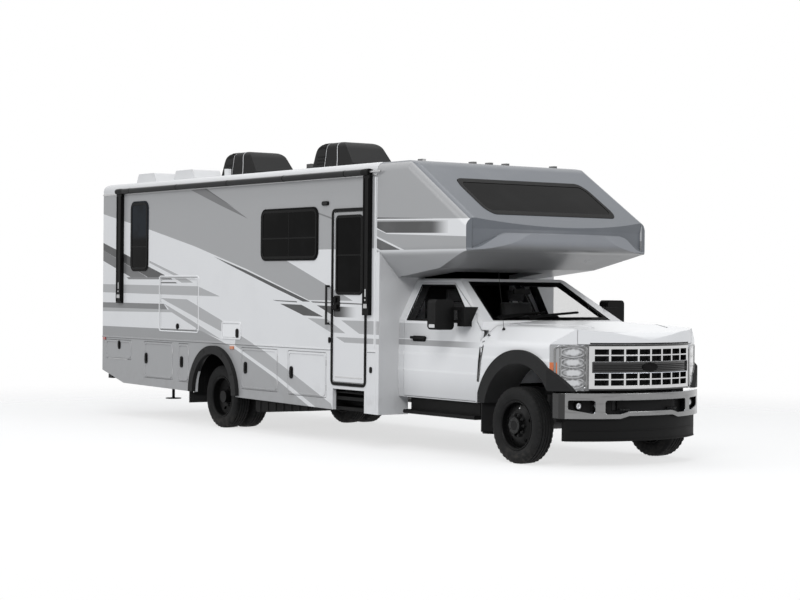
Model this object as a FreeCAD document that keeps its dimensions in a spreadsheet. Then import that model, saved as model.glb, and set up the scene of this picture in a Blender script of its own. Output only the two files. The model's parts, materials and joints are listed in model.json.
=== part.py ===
"""Class C motorhome on a cutaway truck chassis, in millimetres.

+X points forward, +Y to the driver's side (left) and +Z up. The origin lies on the ground,
under the middle of the vehicle's length and width.
"""
import FreeCAD, Part
import math
import os
import Sketcher

SIZES = {
    # wheels, axles and frame
    "wheelbase": 5950, "front_overhang": 975, "rear_overhang": 3250, "rear_bumper_reach": 70,
    "tyre_radius": 405, "tyre_width": 225, "tyre_shoulder": 26, "rim_radius": 262,
    "rim_flange": 12, "rim_width": 170, "disc_thickness": 14, "rim_shell": 9,
    "front_disc_proud": 20, "hub_radius": 88, "hub_reach": 52, "rear_disc_depth": 128,
    "dish_radius": 150, "front_dish_depth": 42, "rear_dish_depth": 36, "hand_hole_radius": 21,
    "hand_hole_ring_radius": 192, "rear_hub_radius": 78, "rear_hub_reach": 120,
    "rear_spacer_radius": 127,
    "front_track": 1900, "rear_track": 1880, "dual_spacing": 280,
    "kingpin_inset": 190, "kingpin_radius": 38, "kingpin_half_height": 95,
    "knuckle_thickness": 120, "yoke_depth": 70, "knuckle_half_height": 70, "brake_drum_radius": 190,
    "brake_drum_width": 55,
    "axle_beam_radius": 55, "axle_yoke_thickness": 40, "diff_radius": 165, "diff_width": 240,
    "front_diff_offset": 300, "spring_radius": 65, "front_spring_half_track": 530,
    "rear_tube_radius": 62, "leaf_width": 75, "leaf_thickness": 45, "leaf_half_length": 760,
    "rail_half_gap": 390, "rail_width": 70, "rail_height": 190, "rail_bottom": 590, "rail_flange": 8,
    "frame_front_reach": 800, "frame_tail_gap": 330, "crossmember_length": 60,
    "running_gap": 5, "seat": 0.3, "overrun": 20,
    # engine, driveline and tank
    "engine_front": 430, "engine_rear": 500, "engine_half_width": 290, "engine_bottom": 640,
    "engine_height": 640, "gearbox_radius": 150, "gearbox_length": 900, "gearbox_height": 640,
    "core_thickness": 60, "core_bottom": 620,
    "shaft_radius": 50, "exhaust_radius": 40, "exhaust_place": 185, "exhaust_tail": 5250,
    "muffler_radius": 105, "muffler_start": 2500, "muffler_length": 700, "exhaust_height": 600,
    "tank_start": 3500, "tank_length": 1300, "tank_width": 205, "tank_height": 230, "tank_gap": 25,
    # house
    "body_width": 2566, "wall": 50, "roof_height": 3270, "roof_thickness": 80, "roof_lip": 140,
    "roof_edge_radius": 95, "belt_height": 1105, "house_front": 2260, "front_wall_thickness": 60,
    "floor_thickness": 100, "floor_drop": 5, "joist_width": 80, "joist_margin": 250,
    "skirt_front_bottom": 389, "skirt_kink_bottom": 468, "skirt_kink": 8536, "skirt_tail_bottom": 630,
    "rear_arch_radius": 535, "rear_arch_height": 448, "flare_band": 85, "flare_proud": 55,
    "flare_thickness": 22, "flap_skirt_room": 14,
    "passage_half_width": 640, "passage_bottom": 1160, "passage_brow": 210, "cap_bottom": 1952,
    "panel_gap": 5, "panel_corner": 30, "window_corner": 80, "window_flange": 28,
    "window_proud": 10, "window_thickness": 30,
    # moulded cap over the cab
    "cap_wall": 50, "cap_side_bottom": 2240, "cap_tuck": 283, "cap_chin_setback": 1270,
    "cap_chin_height": 2060, "cap_lip_setback": 640, "cap_lip_bottom": 2232, "cap_nose_setback": 470,
    "cap_nose_bottom": 2262, "cap_nose_front": 395, "cap_nose_height": 2545, "cap_ridge_setback": 560,
    "cap_ridge_height": 2600, "cap_roof_setback": 1642, "cap_brow_radius": 500, "cap_nose_radius": 60,
    "cap_crown_radius": 4500, "cap_corner_radius": 220, "cap_edge_radius": 110, "cap_chin_radius": 170,
    "cap_cove_radius": 150, "cap_recess": 26, "cap_recess_top": 2590, "cap_recess_fade": 110,
    "cap_lip_half_width": 860, "cap_lip_height": 2432, "cap_lip_radius": 300, "cap_lip_end": 2270,
    "cap_lip_end_half_width": 1215, "nose_window_corner": 95,
    "nose_window_half_width": 915, "nose_window_low": 660, "nose_window_high": 1300,
    "nose_window_thickness": 14,
    # entry
    "entry_rear": 3150, "entry_width": 660, "entry_bottom": 727, "entry_top": 2720,
    "entry_sill": 40, "entry_window_inset": 60, "entry_window_bottom": 1763,
    "entry_window_top": 2670,
    "step_plate": 12, "step_depth": 520, "step_tread_depth": 250, "step_fold_bottom": 400,
    "step_fold_top": 600, "step_upper_height": 905,
    "grab_bar_place": 3225, "grab_bar_bottom": 1410, "grab_bar_top": 1850, "grab_bar_radius": 14,
    "grab_bar_reach": 55,
    # awning
    "awning_arm_width": 150, "awning_arm_thickness": 45, "awning_rear_arm": 8705,
    "awning_front_arm": 2485, "awning_front_arm_width": 130, "awning_arm_drop": 80,
    "awning_rear_arm_bottom": 1590, "awning_front_arm_bottom": 1520,
    "awning_roller_radius": 38, "awning_roller_drop": 112, "awning_end": 95, "awning_end_radius": 40,
    # roof equipment
    "cooler_length": 960, "cooler_half_width": 330, "cooler_height": 415, "cooler_rear_place": 7050,
    "cooler_front_place": 4700, "cooler_base": 60, "cooler_corner": 90, "cooler_nose": 260,
    "vent_radius": 190, "vent_height": 190, "vent_place": 5600, "vent_offset": 100,
    "hatch_length": 620, "hatch_half_width": 210, "hatch_height": 150, "hatch_offset": 780,
    "hatch_rear_place": 8450, "hatch_front_place": 7350, "antenna_radius": 45, "antenna_height": 120,
    "antenna_place": 6320, "antenna_offset": 900,
    # lamps
    "marker_length": 90, "marker_width": 50, "marker_height": 26, "marker_outer": 960,
    "marker_inner": 240, "marker_setback": 1890, "tail_lamp_width": 90, "tail_lamp_height": 420,
    "tail_lamp_bottom": 900, "tail_lamp_inset": 120, "tail_lamp_proud": 18,
    "rear_marker_width": 95, "rear_marker_height": 35, "rear_marker_proud": 12, "rear_marker_drop": 70,
    # rear bumper, hitch and jacks
    "rear_bumper_half_width": 1150, "rear_bumper_height": 120, "rear_bumper_bottom": 505,
    "rear_bumper_depth": 110, "receiver_outer": 38, "receiver_inner": 25.5, "receiver_length": 300,
    "receiver_height": 470, "bumper_arm_length": 480, "bumper_arm_width": 50,
    "jack_front_place": 917, "jack_rear_place": 8250, "jack_offset": 640, "jack_radius": 32,
    "jack_leg_radius": 20, "jack_foot_radius": 110, "jack_foot_thickness": 12, "jack_foot_height": 245,
    "jack_cylinder_bottom": 420, "jack_bracket": 20,
    # cab
    "cab_bottom": 600, "cab_floor_bottom": 800, "cab_floor_thickness": 50,
    "cab_roof": 1948, "cab_skin": 70, "cab_half_width": 1000, "cab_waist_half_width": 1015,
    "cab_waist_height": 900, "cab_belt_drop": 10, "cab_belt_half_width": 1000,
    "cab_roof_half_width": 745, "cab_roof_front": 1395, "cab_screen_base": 640,
    "cowl_rise": 107, "cab_rocker": 130, "cab_roof_radius": 60,
    "door_cut_upper": 652, "door_cut_upper_height": 1371, "door_cut_lower": 722,
    "door_cut_lower_height": 823, "door_rear": 2100, "door_bottom": 612, "door_top": 1900,
    "door_screen_setback": 1440, "door_nose_setback": 800, "door_nose_rise": 181,
    "door_sill_rise": 119, "door_window_rear": 2040, "door_window_top": 1862,
    "door_window_front": 880, "door_window_front_top": 1430, "door_glass_thickness": 12,
    "door_lap": 20, "door_skin": 40, "door_hinge_room": 30,
    "screen_top_half_width": 655, "screen_base_half_width": 830, "screen_top": 1905,
    "screen_rise": 22, "screen_thickness": 14,
    "mirror_rear": 1160, "mirror_depth": 150, "mirror_inner": 1110, "mirror_outer": 1362,
    "mirror_drop": 105, "mirror_height": 330, "mirror_corner": 45, "mirror_arm_height": 36,
    "mirror_arm_depth": 30, "mirror_arm_upper_rise": 215, "mirror_arm_lower_rise": 75,
    "mirror_mount_front": 830, "mirror_foot_length": 120,
    "board_rear": 2075, "board_front": 740, "board_top": 458, "board_thickness": 45,
    "board_inner": 850, "board_outer": 1030, "board_edge_radius": 20, "board_panel_setback": 45,
    "board_panel_face": 945, "board_panel_thickness": 30,
    "seat_base_length": 520, "seat_half_width": 250, "seat_offset": 440, "seat_base_height": 290,
    "seat_front": 1300, "seat_back_thickness": 140, "seat_back_height": 560, "seat_back_lean": 130,
    "head_rest_height": 150, "head_rest_half_width": 130, "seat_corner": 50,
    "dash_rear": 1130, "dash_height": 1440, "dash_bottom": 1130,
    "dash_half_width": 880, "dash_brow": 60, "steering_radius": 190, "steering_rim": 16,
    "steering_lean": 60,
    "steering_offset": 430, "steering_setback": 1290, "steering_height": 1370, "column_radius": 26,
    # nose of the truck
    "nose_skin": 28, "nose_front": 935, "nose_plan_radius": 1450, "nose_half_width": 1030,
    "nose_shoulder_height": 1265, "nose_top_half_width": 800, "nose_side_top": 1440,
    "hood_rear": 630, "hood_rear_rise": 14, "hood_mid": 250, "hood_mid_height": 1478,
    "hood_lip": 860, "hood_lip_height": 1398, "hood_nose_height": 1345, "hood_half_width": 800,
    "hood_corner_radius": 110, "fender_bottom": 612, "front_arch_height": 478, "front_arch_place": 40,
    "front_arch_radius": 600, "front_flare_band": 122, "front_flare_proud": 35, "hood_crown": 1512,
    "fender_front_bottom": 790, "lamp_bottom": 795, "lamp_top": 1268,
    "lamp_depth": 250, "grille_half_width": 695, "grille_bottom": 800, "grille_top": 1272,
    "grille_depth": 60, "grille_frame": 42, "grille_bar": 26, "grille_post": 22, "grille_band": 110,
    "grille_set_back": 16,
    "bumper_front": 975, "bumper_plan_radius": 1490, "bumper_bottom": 508, "bumper_top": 770,
    "bumper_half_width": 975, "bumper_thickness": 75, "bumper_slot_half_width": 560,
    "bumper_slot_bottom": 555, "bumper_slot_top": 698, "fog_inner": 655, "fog_outer": 900,
    "fog_rise": 50, "bumper_corner": 30, "bumper_step": 28, "bumper_step_start": 300,
    "bumper_step_end": 400,
    "dam_bottom": 273, "dam_half_width": 900, "dam_setback": 35, "dam_thickness": 50, "dam_lap": 40,
    "insert_thickness": 12, "liner_inner": 640, "liner_thickness": 10,
    "mudflap_thickness": 10, "mudflap_bottom": 300, "mudflap_inner": 820,
    # baggage boxes
    "bay_depth": 560, "bay_sheet": 15, "kitchen_depth": 480,
}

# rear edge and front edge behind the front axle, bottom and top, of the doors on the right side
RIGHT_HATCHES = {
    "rear_locker": ("locker_rear_back", "locker_rear_front", "locker_rear_low", "locker_rear_high"),
    "long_locker": ("locker_long_back", "locker_long_front", "locker_long_low", "locker_long_high"),
    "narrow_locker": ("locker_narrow_back", "locker_narrow_front", "locker_narrow_low",
                      "locker_narrow_high"),
    "middle_locker": ("locker_middle_back", "locker_middle_front", "locker_middle_low",
                      "locker_middle_high"),
    "front_locker": ("locker_front_back", "locker_front_front", "locker_front_low",
                     "locker_front_high"),
    "kitchen_locker": ("kitchen_back", "kitchen_front", "kitchen_low", "kitchen_high"),
}
SIZES.update({
    "locker_rear_back": 9100, "locker_rear_front": 8300, "locker_rear_low": 800, "locker_rear_high": 1072,
    "locker_long_back": 7920, "locker_long_front": 7090, "locker_long_low": 572, "locker_long_high": 1072,
    "locker_narrow_back": 6940, "locker_narrow_front": 6640, "locker_narrow_low": 560,
    "locker_narrow_high": 1072,
    "locker_middle_back": 5280, "locker_middle_front": 4390, "locker_middle_low": 540,
    "locker_middle_high": 1068,
    "locker_front_back": 4160, "locker_front_front": 3290, "locker_front_low": 525,
    "locker_front_high": 1064,
    "kitchen_back": 7470, "kitchen_front": 6400, "kitchen_low": 1240, "kitchen_high": 1957,
    "rear_window_back": 8310, "rear_window_front": 7840, "rear_window_low": 2065,
    "rear_window_high": 2980,
    "side_window_back": 4780, "side_window_front": 3515, "side_window_low": 2185,
    "side_window_high": 2770,
    "bed_window_back": 8250, "bed_window_front": 7250, "bed_window_low": 2185, "bed_window_high": 2770,
})
LEFT_HATCHES = ("long_locker", "front_locker")
RIGHT_WINDOWS = {
    "rear_window": ("rear_window_back", "rear_window_front", "rear_window_low", "rear_window_high"),
    "side_window": ("side_window_back", "side_window_front", "side_window_low", "side_window_high"),
}
LEFT_WINDOWS = {
    "bed_window": ("bed_window_back", "bed_window_front", "bed_window_low", "bed_window_high"),
    "side_window": RIGHT_WINDOWS["side_window"],
}

HAND_HOLES = 5
GRILLE_SLOTS = 8

doc = FreeCAD.newDocument("Motorhome")
sheet = doc.addObject("Spreadsheet::Sheet", "Sizes")


def fill_sheet():
    """Write every size into its own named cell."""
    for row, (name, value) in enumerate(SIZES.items(), start=1):
        sheet.set("A%d" % row, name)
        sheet.set("B%d" % row, str(value))
        sheet.setAlias("B%d" % row, name)
    doc.recompute()


class Size:
    """A number, with the sheet expression that gives it."""

    def __init__(self, value, text):
        self.value = float(value)
        self.text = text

    def join(self, other, sign, value):
        return Size(value, "(%s %s %s)" % (self.text, sign, as_size(other).text))

    def __add__(self, other):
        return self.join(other, "+", self.value + as_size(other).value)

    def __radd__(self, other):
        return as_size(other) + self

    def __sub__(self, other):
        return self.join(other, "-", self.value - as_size(other).value)

    def __rsub__(self, other):
        return as_size(other) - self

    def __mul__(self, other):
        return self.join(other, "*", self.value * as_size(other).value)

    def __rmul__(self, other):
        return as_size(other) * self

    def __truediv__(self, other):
        return self.join(other, "/", self.value / as_size(other).value)

    def __neg__(self):
        return Size(-self.value, "(0 - %s)" % self.text)


class SizeBook:
    """Gives each named size as book.name."""

    def __getattr__(self, name):
        return Size(float(sheet.get(name)), "Sizes." + name)


def as_size(value):
    return value if isinstance(value, Size) else Size(value, repr(float(value)))


def root(size):
    """Square root of a size."""
    return Size(math.sqrt(size.value), "sqrt(%s)" % size.text)


book = SizeBook()


def bind(item, **sizes):
    """Set properties of an object by sheet expressions; place_x stands for Placement.Base.x."""
    for name, size in sizes.items():
        path = "Placement.Base." + name[-1] if name.startswith("place_") else name
        item.setExpression(path, as_size(size).text)
    return item


def box(low, high):
    """Block between two corners, each an (x, y, z) of sizes."""
    block = doc.addObject("Part::Box", "Block")
    bind(block, Length=high[0] - as_size(low[0]), Width=high[1] - as_size(low[1]),
         Height=high[2] - as_size(low[2]))
    return bind(block, place_x=low[0], place_y=low[1], place_z=low[2])


AXIS_TURNS = {"X": ((0, 1, 0), 90), "Y": ((1, 0, 0), -90), "Z": ((0, 0, 1), 0)}


def drum(axis, radius, low, high, centre):
    """Cylinder along an axis from low to high; centre gives its other two coordinates in order."""
    item = doc.addObject("Part::Cylinder", "Drum")
    vector, angle = AXIS_TURNS[axis]
    item.Placement = FreeCAD.Placement(FreeCAD.Vector(), FreeCAD.Rotation(FreeCAD.Vector(*vector), angle))
    bind(item, Radius=radius, Height=high - as_size(low))
    places = list(centre)
    places.insert("XYZ".index(axis), low)
    return bind(item, place_x=places[0], place_y=places[1], place_z=places[2])


def corner_tangents(points, index):
    """Where the arc at one corner of an outline starts and ends, and its centre."""
    here = FreeCAD.Vector(points[index][0].value, points[index][1].value, 0)
    last = points[index - 1]
    after = points[(index + 1) % len(points)]
    if len(points[index]) < 3:
        return here, here, None
    back = (FreeCAD.Vector(last[0].value, last[1].value, 0) - here).normalize()
    onward = (FreeCAD.Vector(after[0].value, after[1].value, 0) - here).normalize()
    half = back.getAngle(onward) / 2
    radius = points[index][2].value
    centre = here + (back + onward).normalize() * (radius / math.sin(half))
    reach = radius / math.tan(half)
    return here + back * reach, here + onward * reach, centre


def pin_point(sketch, geometry, point):
    """Constraints and their expressions that hold a corner at its two coordinates."""
    rules = []
    texts = []
    for kind, axis, size in (("DistanceX", -2, point[0]), ("DistanceY", -1, point[1])):
        if size.text == "0.0":
            rules.append(Sketcher.Constraint("PointOnObject", geometry, 1, axis))
            texts.append(None)
        else:
            rules.append(Sketcher.Constraint(kind, -1, 1, geometry, 1, size.value))
            texts.append(size.text)
    return rules, texts


def draw_outline(sketch, outline):
    """Closed outline of straight runs in a sketch; a third value at a corner is its radius."""
    points = [tuple(as_size(value) for value in point) for point in outline]
    count = len(points)
    arcs = [corner_tangents(points, index) for index in range(count)]
    corners = [sketch.addGeometry(Part.Point(FreeCAD.Vector(p[0].value, p[1].value, 0)), True)
               for p in points]
    runs = [sketch.addGeometry(Part.LineSegment(arcs[i][1], arcs[(i + 1) % count][0]), False)
            for i in range(count)]
    rules = []
    texts = []
    for index, (start, end, centre) in enumerate(arcs):
        pins, pin_texts = pin_point(sketch, corners[index], points[index])
        rules += pins
        texts += pin_texts
        last = runs[index - 1]
        after = runs[index]
        if centre is None:
            rules.append(Sketcher.Constraint("Coincident", last, 2, corners[index], 1))
            rules.append(Sketcher.Constraint("Coincident", after, 1, corners[index], 1))
            texts += [None, None]
            continue
        corner = FreeCAD.Vector(points[index][0].value, points[index][1].value, 0)
        middle = centre + (corner - centre).normalize() * points[index][2].value
        arc = sketch.addGeometry(Part.Arc(start, middle, end), False)
        to_first = (sketch.getPoint(arc, 1) - start).Length
        to_last = (sketch.getPoint(arc, 2) - start).Length
        first = 1 if to_first < to_last else 2
        rules.append(Sketcher.Constraint("PointOnObject", corners[index], 1, last))
        rules.append(Sketcher.Constraint("PointOnObject", corners[index], 1, after))
        rules.append(Sketcher.Constraint("Tangent", last, 2, arc, first))
        rules.append(Sketcher.Constraint("Tangent", after, 1, arc, 3 - first))
        rules.append(Sketcher.Constraint("Radius", arc, points[index][2].value))
        texts += [None, None, None, None, points[index][2].text]
    numbers = sketch.addConstraint(rules)
    for number, text in zip(numbers, texts):
        if text:
            sketch.setExpression("Constraints[%d]" % number, text)


PLANE_ROLES = {"X": "YZ_Plane", "Y": "XZ_Plane", "Z": "XY_Plane"}


def start_sketch(axis, outline):
    """Body with one sketch whose plane's normal lies along an axis."""
    body = doc.addObject("PartDesign::Body", "Piece")
    sketch = body.newObject("Sketcher::SketchObject", "Outline")
    plane = [item for item in body.Origin.OriginFeatures if item.Role == PLANE_ROLES[axis]][0]
    sketch.AttachmentSupport = [(plane, "")]
    sketch.MapMode = "FlatFace"
    draw_outline(sketch, outline)
    return body, sketch


def pad(axis, outline, low, high):
    """Outline extruded along an axis from low to high; (x, z) points for Y, (y, z) for X, (x, y) for Z."""
    body, sketch = start_sketch(axis, outline)
    # the XZ plane's normal points to -Y
    offset = -as_size(high) if axis == "Y" else as_size(low)
    sketch.setExpression("AttachmentOffset.Base.z", offset.text)
    feature = body.newObject("PartDesign::Pad", "Pad")
    feature.Profile = sketch
    bind(feature, Length=high - as_size(low))
    sketch.Visibility = False
    return body


def spin(outline, place_x, place_z):
    """Outline of (y, radius) points turned about a line along Y through (place_x, place_z)."""
    body, sketch = start_sketch("X", outline)
    feature = body.newObject("PartDesign::Revolution", "Turn")
    feature.Profile = sketch
    feature.ReferenceAxis = (sketch, ["H_Axis"])
    feature.Angle = 360
    return bind(body, place_x=place_x, place_z=place_z)


def many(kind, pieces):
    item = doc.addObject(kind, kind.split("::Multi")[-1])
    item.Shapes = list(pieces)
    return item


def fuse(*pieces):
    return many("Part::MultiFuse", pieces)


def common(*pieces):
    return many("Part::MultiCommon", pieces)


def cut(base, *tools):
    item = doc.addObject("Part::Cut", "Cut")
    item.Base = base
    item.Tool = fuse(*tools) if len(tools) > 1 else tools[0]
    return item


def group(*pieces):
    """Separate solids that share one node."""
    item = doc.addObject("Part::Compound", "Group")
    item.Links = list(pieces)
    return item


def mirror(piece):
    """The same piece on the other side of the vehicle's middle plane."""
    item = doc.addObject("Part::Mirroring", "Mirror")
    item.Source = piece
    item.Normal = (0, 1, 0)
    return item


def rectangle(low, high, radius=None):
    """Corners of a rectangle between two (u, v) points, rounded where a radius is given."""
    corners = [(low[0], low[1]), (high[0], low[1]), (high[0], high[1]), (low[0], high[1])]
    return corners if radius is None else [corner + (radius,) for corner in corners]


def both_sides(half):
    """Outline from the points of its +Y half, which starts and ends beside the middle plane."""
    return half + [(-point[0],) + point[1:] for point in reversed(half)]


nodes = {}


def node(name, item):
    """Name a finished sub-part; its label is also its file's name."""
    item.Label = name
    nodes[name] = item
    return item


fill_sheet()
FRONT = (book.wheelbase + book.rear_overhang + book.rear_bumper_reach - book.front_overhang) / 2
REAR = FRONT - book.wheelbase
TAIL = REAR - book.rear_overhang
SIDE = book.body_width / 2
WHEEL_HEIGHT = book.tyre_radius
KINGPIN = book.front_track / 2 - book.kingpin_inset
FLOOR_TOP = book.belt_height - book.floor_drop
FLOOR_BOTTOM = FLOOR_TOP - book.floor_thickness
RAIL_TOP = book.rail_bottom + book.rail_height
ROOF_UNDER = book.roof_height - book.roof_thickness
WALL_TOP = book.roof_height - book.roof_lip
HOUSE_FRONT = FRONT - book.house_front
CAB_REAR = HOUSE_FRONT + book.front_wall_thickness + book.seat
SCREEN_BASE_HEIGHT = book.door_cut_upper_height + book.cowl_rise
SCREEN_BOTTOM = SCREEN_BASE_HEIGHT + book.screen_rise
SILL_HEIGHT = book.door_cut_upper_height + book.door_sill_rise
LAMP_REAR = FRONT + book.front_arch_place + book.front_arch_radius - book.lamp_depth / 2


def back(size):
    """Place that lies a size behind the front axle."""
    return FRONT - size


def tyre_outline(middle):
    """Section of a tyre round a middle plane, as (y, radius) points; it is widest half way up."""
    half = book.tyre_width / 2
    bead = book.rim_width / 2
    tread = half - book.tyre_shoulder
    widest = (book.tyre_radius + book.rim_radius) / 2
    return [(middle - bead, book.rim_radius + book.seat), (middle - half, widest),
            (middle - tread, book.tyre_radius), (middle + tread, book.tyre_radius),
            (middle + half, widest), (middle + bead, book.rim_radius + book.seat)]


def rim_outline(middle, disc, hub_radius, hub_reach, dish):
    """Section of a rim with its disc, as (y, radius) points, open towards -Y.

    The disc's outer face lies at disc along Y and its hub stands out by hub_reach. Outside the flat
    part for the wheel nuts it slopes by the depth dish to meet the rim.
    """
    half = book.rim_width / 2
    inner = book.rim_radius - book.rim_flange - book.rim_shell
    low = middle - half - book.rim_flange
    high = middle + half + book.rim_flange
    return [(disc - hub_reach, 0), (disc - hub_reach, hub_radius), (disc, hub_radius),
            (disc, book.dish_radius), (disc + dish, inner), (low + book.rim_flange, inner),
            (low, book.rim_radius - book.rim_shell),
            (low, book.rim_radius - book.seat), (high, book.rim_radius - book.seat),
            (high, book.rim_radius - book.rim_shell), (high - book.rim_flange, inner),
            (disc + dish + book.disc_thickness, inner),
            (disc + book.disc_thickness, book.dish_radius), (disc + book.disc_thickness, 0)]


def wheel_disc(rim, place, disc):
    """A turned rim with hand holes at equal turns through the slope of its disc."""
    reach = book.rim_width / 2
    ring = book.hand_hole_ring_radius
    holes = []
    for number in range(HAND_HOLES):
        turn = math.tau * number / HAND_HOLES
        centre = (place + ring * math.sin(turn), WHEEL_HEIGHT + ring * math.cos(turn))
        holes.append(drum("Y", book.hand_hole_radius, disc - reach, disc + reach, centre))
    return cut(rim, *holes)


def make_front_wheels():
    """Steered single wheels with a proud disc and hub."""
    middle = -book.front_track / 2
    disc = middle - book.rim_width / 2 + book.front_disc_proud
    tyre = spin(tyre_outline(middle), FRONT, WHEEL_HEIGHT)
    outline = rim_outline(middle, disc, book.hub_radius, book.hub_reach, book.front_dish_depth)
    rim = wheel_disc(spin(outline, FRONT, WHEEL_HEIGHT), FRONT, disc)
    node("tyre_front_right", tyre)
    node("rim_front_right", rim)
    node("tyre_front_left", mirror(tyre))
    node("rim_front_left", mirror(rim))


def make_rear_wheels():
    """Twin wheels; each pair turns as one."""
    outer = -(book.rear_track / 2 + book.dual_spacing / 2)
    inner = outer + book.dual_spacing
    tyres = [spin(tyre_outline(middle), REAR, WHEEL_HEIGHT) for middle in (outer, inner)]
    disc = outer - book.rim_width / 2 + book.rear_disc_depth
    outline = rim_outline(outer, disc, book.rear_hub_radius, book.rear_hub_reach, -book.rear_dish_depth)
    outer_rim = wheel_disc(spin(outline, REAR, WHEEL_HEIGHT), REAR, disc)
    inner_disc = inner - book.rim_width / 2 + book.disc_thickness
    outline = rim_outline(inner, inner_disc, book.hub_radius, book.seat, as_size(0))
    inner_rim = spin(outline, REAR, WHEEL_HEIGHT)
    spacer = drum("Y", book.rear_spacer_radius, disc + book.disc_thickness / 2,
                  inner_disc + book.disc_thickness / 2, (REAR, WHEEL_HEIGHT))
    rims = fuse(outer_rim, spacer, inner_rim)
    node("tyres_rear_right", group(*tyres))
    node("rims_rear_right", rims)
    node("tyres_rear_left", group(*[mirror(tyre) for tyre in tyres]))
    node("rims_rear_left", mirror(rims))


def make_knuckles():
    """Steering knuckles, each with its kingpin bosses, brake drum and spindle."""
    pin = -KINGPIN
    disc = -book.front_track / 2 - book.rim_width / 2 + book.front_disc_proud + book.disc_thickness
    drum_end = pin - book.knuckle_thickness / 2
    post = drum("Z", book.kingpin_radius, WHEEL_HEIGHT - book.kingpin_half_height,
                WHEEL_HEIGHT + book.kingpin_half_height, (FRONT, pin))
    plate = drum("Y", book.knuckle_half_height, drum_end, pin, (FRONT, WHEEL_HEIGHT))
    brake = drum("Y", book.brake_drum_radius, drum_end - book.brake_drum_width, drum_end,
                 (FRONT, WHEEL_HEIGHT))
    spindle = drum("Y", book.hub_radius, disc + book.seat, drum_end, (FRONT, WHEEL_HEIGHT))
    knuckle = fuse(post, plate, brake, spindle)
    node("knuckle_right", knuckle)
    node("knuckle_left", mirror(knuckle))


def make_front_axle():
    """Solid steered axle: tube, differential, yokes round the kingpins, coil springs."""
    pin = KINGPIN
    yoke_gap = book.kingpin_half_height + book.seat
    yoke_top = WHEEL_HEIGHT + yoke_gap + book.axle_yoke_thickness
    yoke_low = WHEEL_HEIGHT - yoke_gap - book.axle_yoke_thickness
    inner = pin - book.yoke_depth - book.kingpin_radius
    parts = [drum("Y", book.axle_beam_radius, -inner, inner, (FRONT, WHEEL_HEIGHT)),
             drum("Y", book.diff_radius, book.front_diff_offset - book.diff_width / 2,
                  book.front_diff_offset + book.diff_width / 2, (FRONT, WHEEL_HEIGHT))]
    for side in (-1, 1):
        near = inner * side
        far = (pin + book.kingpin_radius) * side
        low, high = (near, far) if side > 0 else (far, near)
        cheek_low, cheek_high = (near - book.axle_yoke_thickness, near) if side > 0 else (
            near, near + book.axle_yoke_thickness)
        parts.append(box((FRONT - book.kingpin_radius, cheek_low, yoke_low),
                         (FRONT + book.kingpin_radius, cheek_high, yoke_top)))
        parts.append(box((FRONT - book.kingpin_radius, low, WHEEL_HEIGHT + yoke_gap),
                         (FRONT + book.kingpin_radius, high, yoke_top)))
        parts.append(box((FRONT - book.kingpin_radius, low, yoke_low),
                         (FRONT + book.kingpin_radius, high, WHEEL_HEIGHT - yoke_gap)))
        parts.append(drum("Z", book.spring_radius, WHEEL_HEIGHT, RAIL_TOP - book.rail_height / 3,
                          (FRONT, book.front_spring_half_track * side)))
    rooms = [drum("Z", book.kingpin_radius + book.running_gap, WHEEL_HEIGHT - book.kingpin_half_height,
                  WHEEL_HEIGHT + book.kingpin_half_height, (FRONT, place)) for place in (-pin, pin)]
    node("front_axle", cut(fuse(*parts), *rooms))


def leaf_pack(offset):
    """One leaf spring: a bowed pack clamped on the axle, seated under a frame rail."""
    top = book.rail_bottom
    low = WHEEL_HEIGHT + book.rear_tube_radius - book.overrun
    half = book.leaf_half_length
    outline = [(REAR - half, top - book.leaf_thickness), (REAR, low, book.leaf_half_length),
               (REAR + half, top - book.leaf_thickness), (REAR + half, top),
               (REAR, low + book.leaf_thickness, book.leaf_half_length), (REAR - half, top)]
    return pad("Y", outline, offset - book.leaf_width / 2, offset + book.leaf_width / 2)


def make_rear_axle():
    """Driven axle: tube, differential, brake drums, leaf springs and drive shaft."""
    reach = book.rear_track / 2 - book.dual_spacing / 2 - book.rim_width / 2
    parts = [drum("Y", book.rear_tube_radius, -reach, reach, (REAR, WHEEL_HEIGHT)),
             drum("Y", book.diff_radius, -book.diff_width / 2, book.diff_width / 2, (REAR, WHEEL_HEIGHT)),
             drum("X", book.shaft_radius, REAR, back(book.engine_rear + book.gearbox_length) - book.seat,
                  (0, WHEEL_HEIGHT + book.diff_radius / 2))]
    disc = reach + book.rim_width - book.disc_thickness * 2 - book.seat
    parts += [drum("Y", book.brake_drum_radius, low, high, (REAR, WHEEL_HEIGHT))
              for low, high in ((reach, disc), (-disc, -reach))]
    middle = book.rail_half_gap + book.rail_width / 2
    parts += [leaf_pack(middle), leaf_pack(-middle)]
    node("rear_axle", fuse(*parts))


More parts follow.
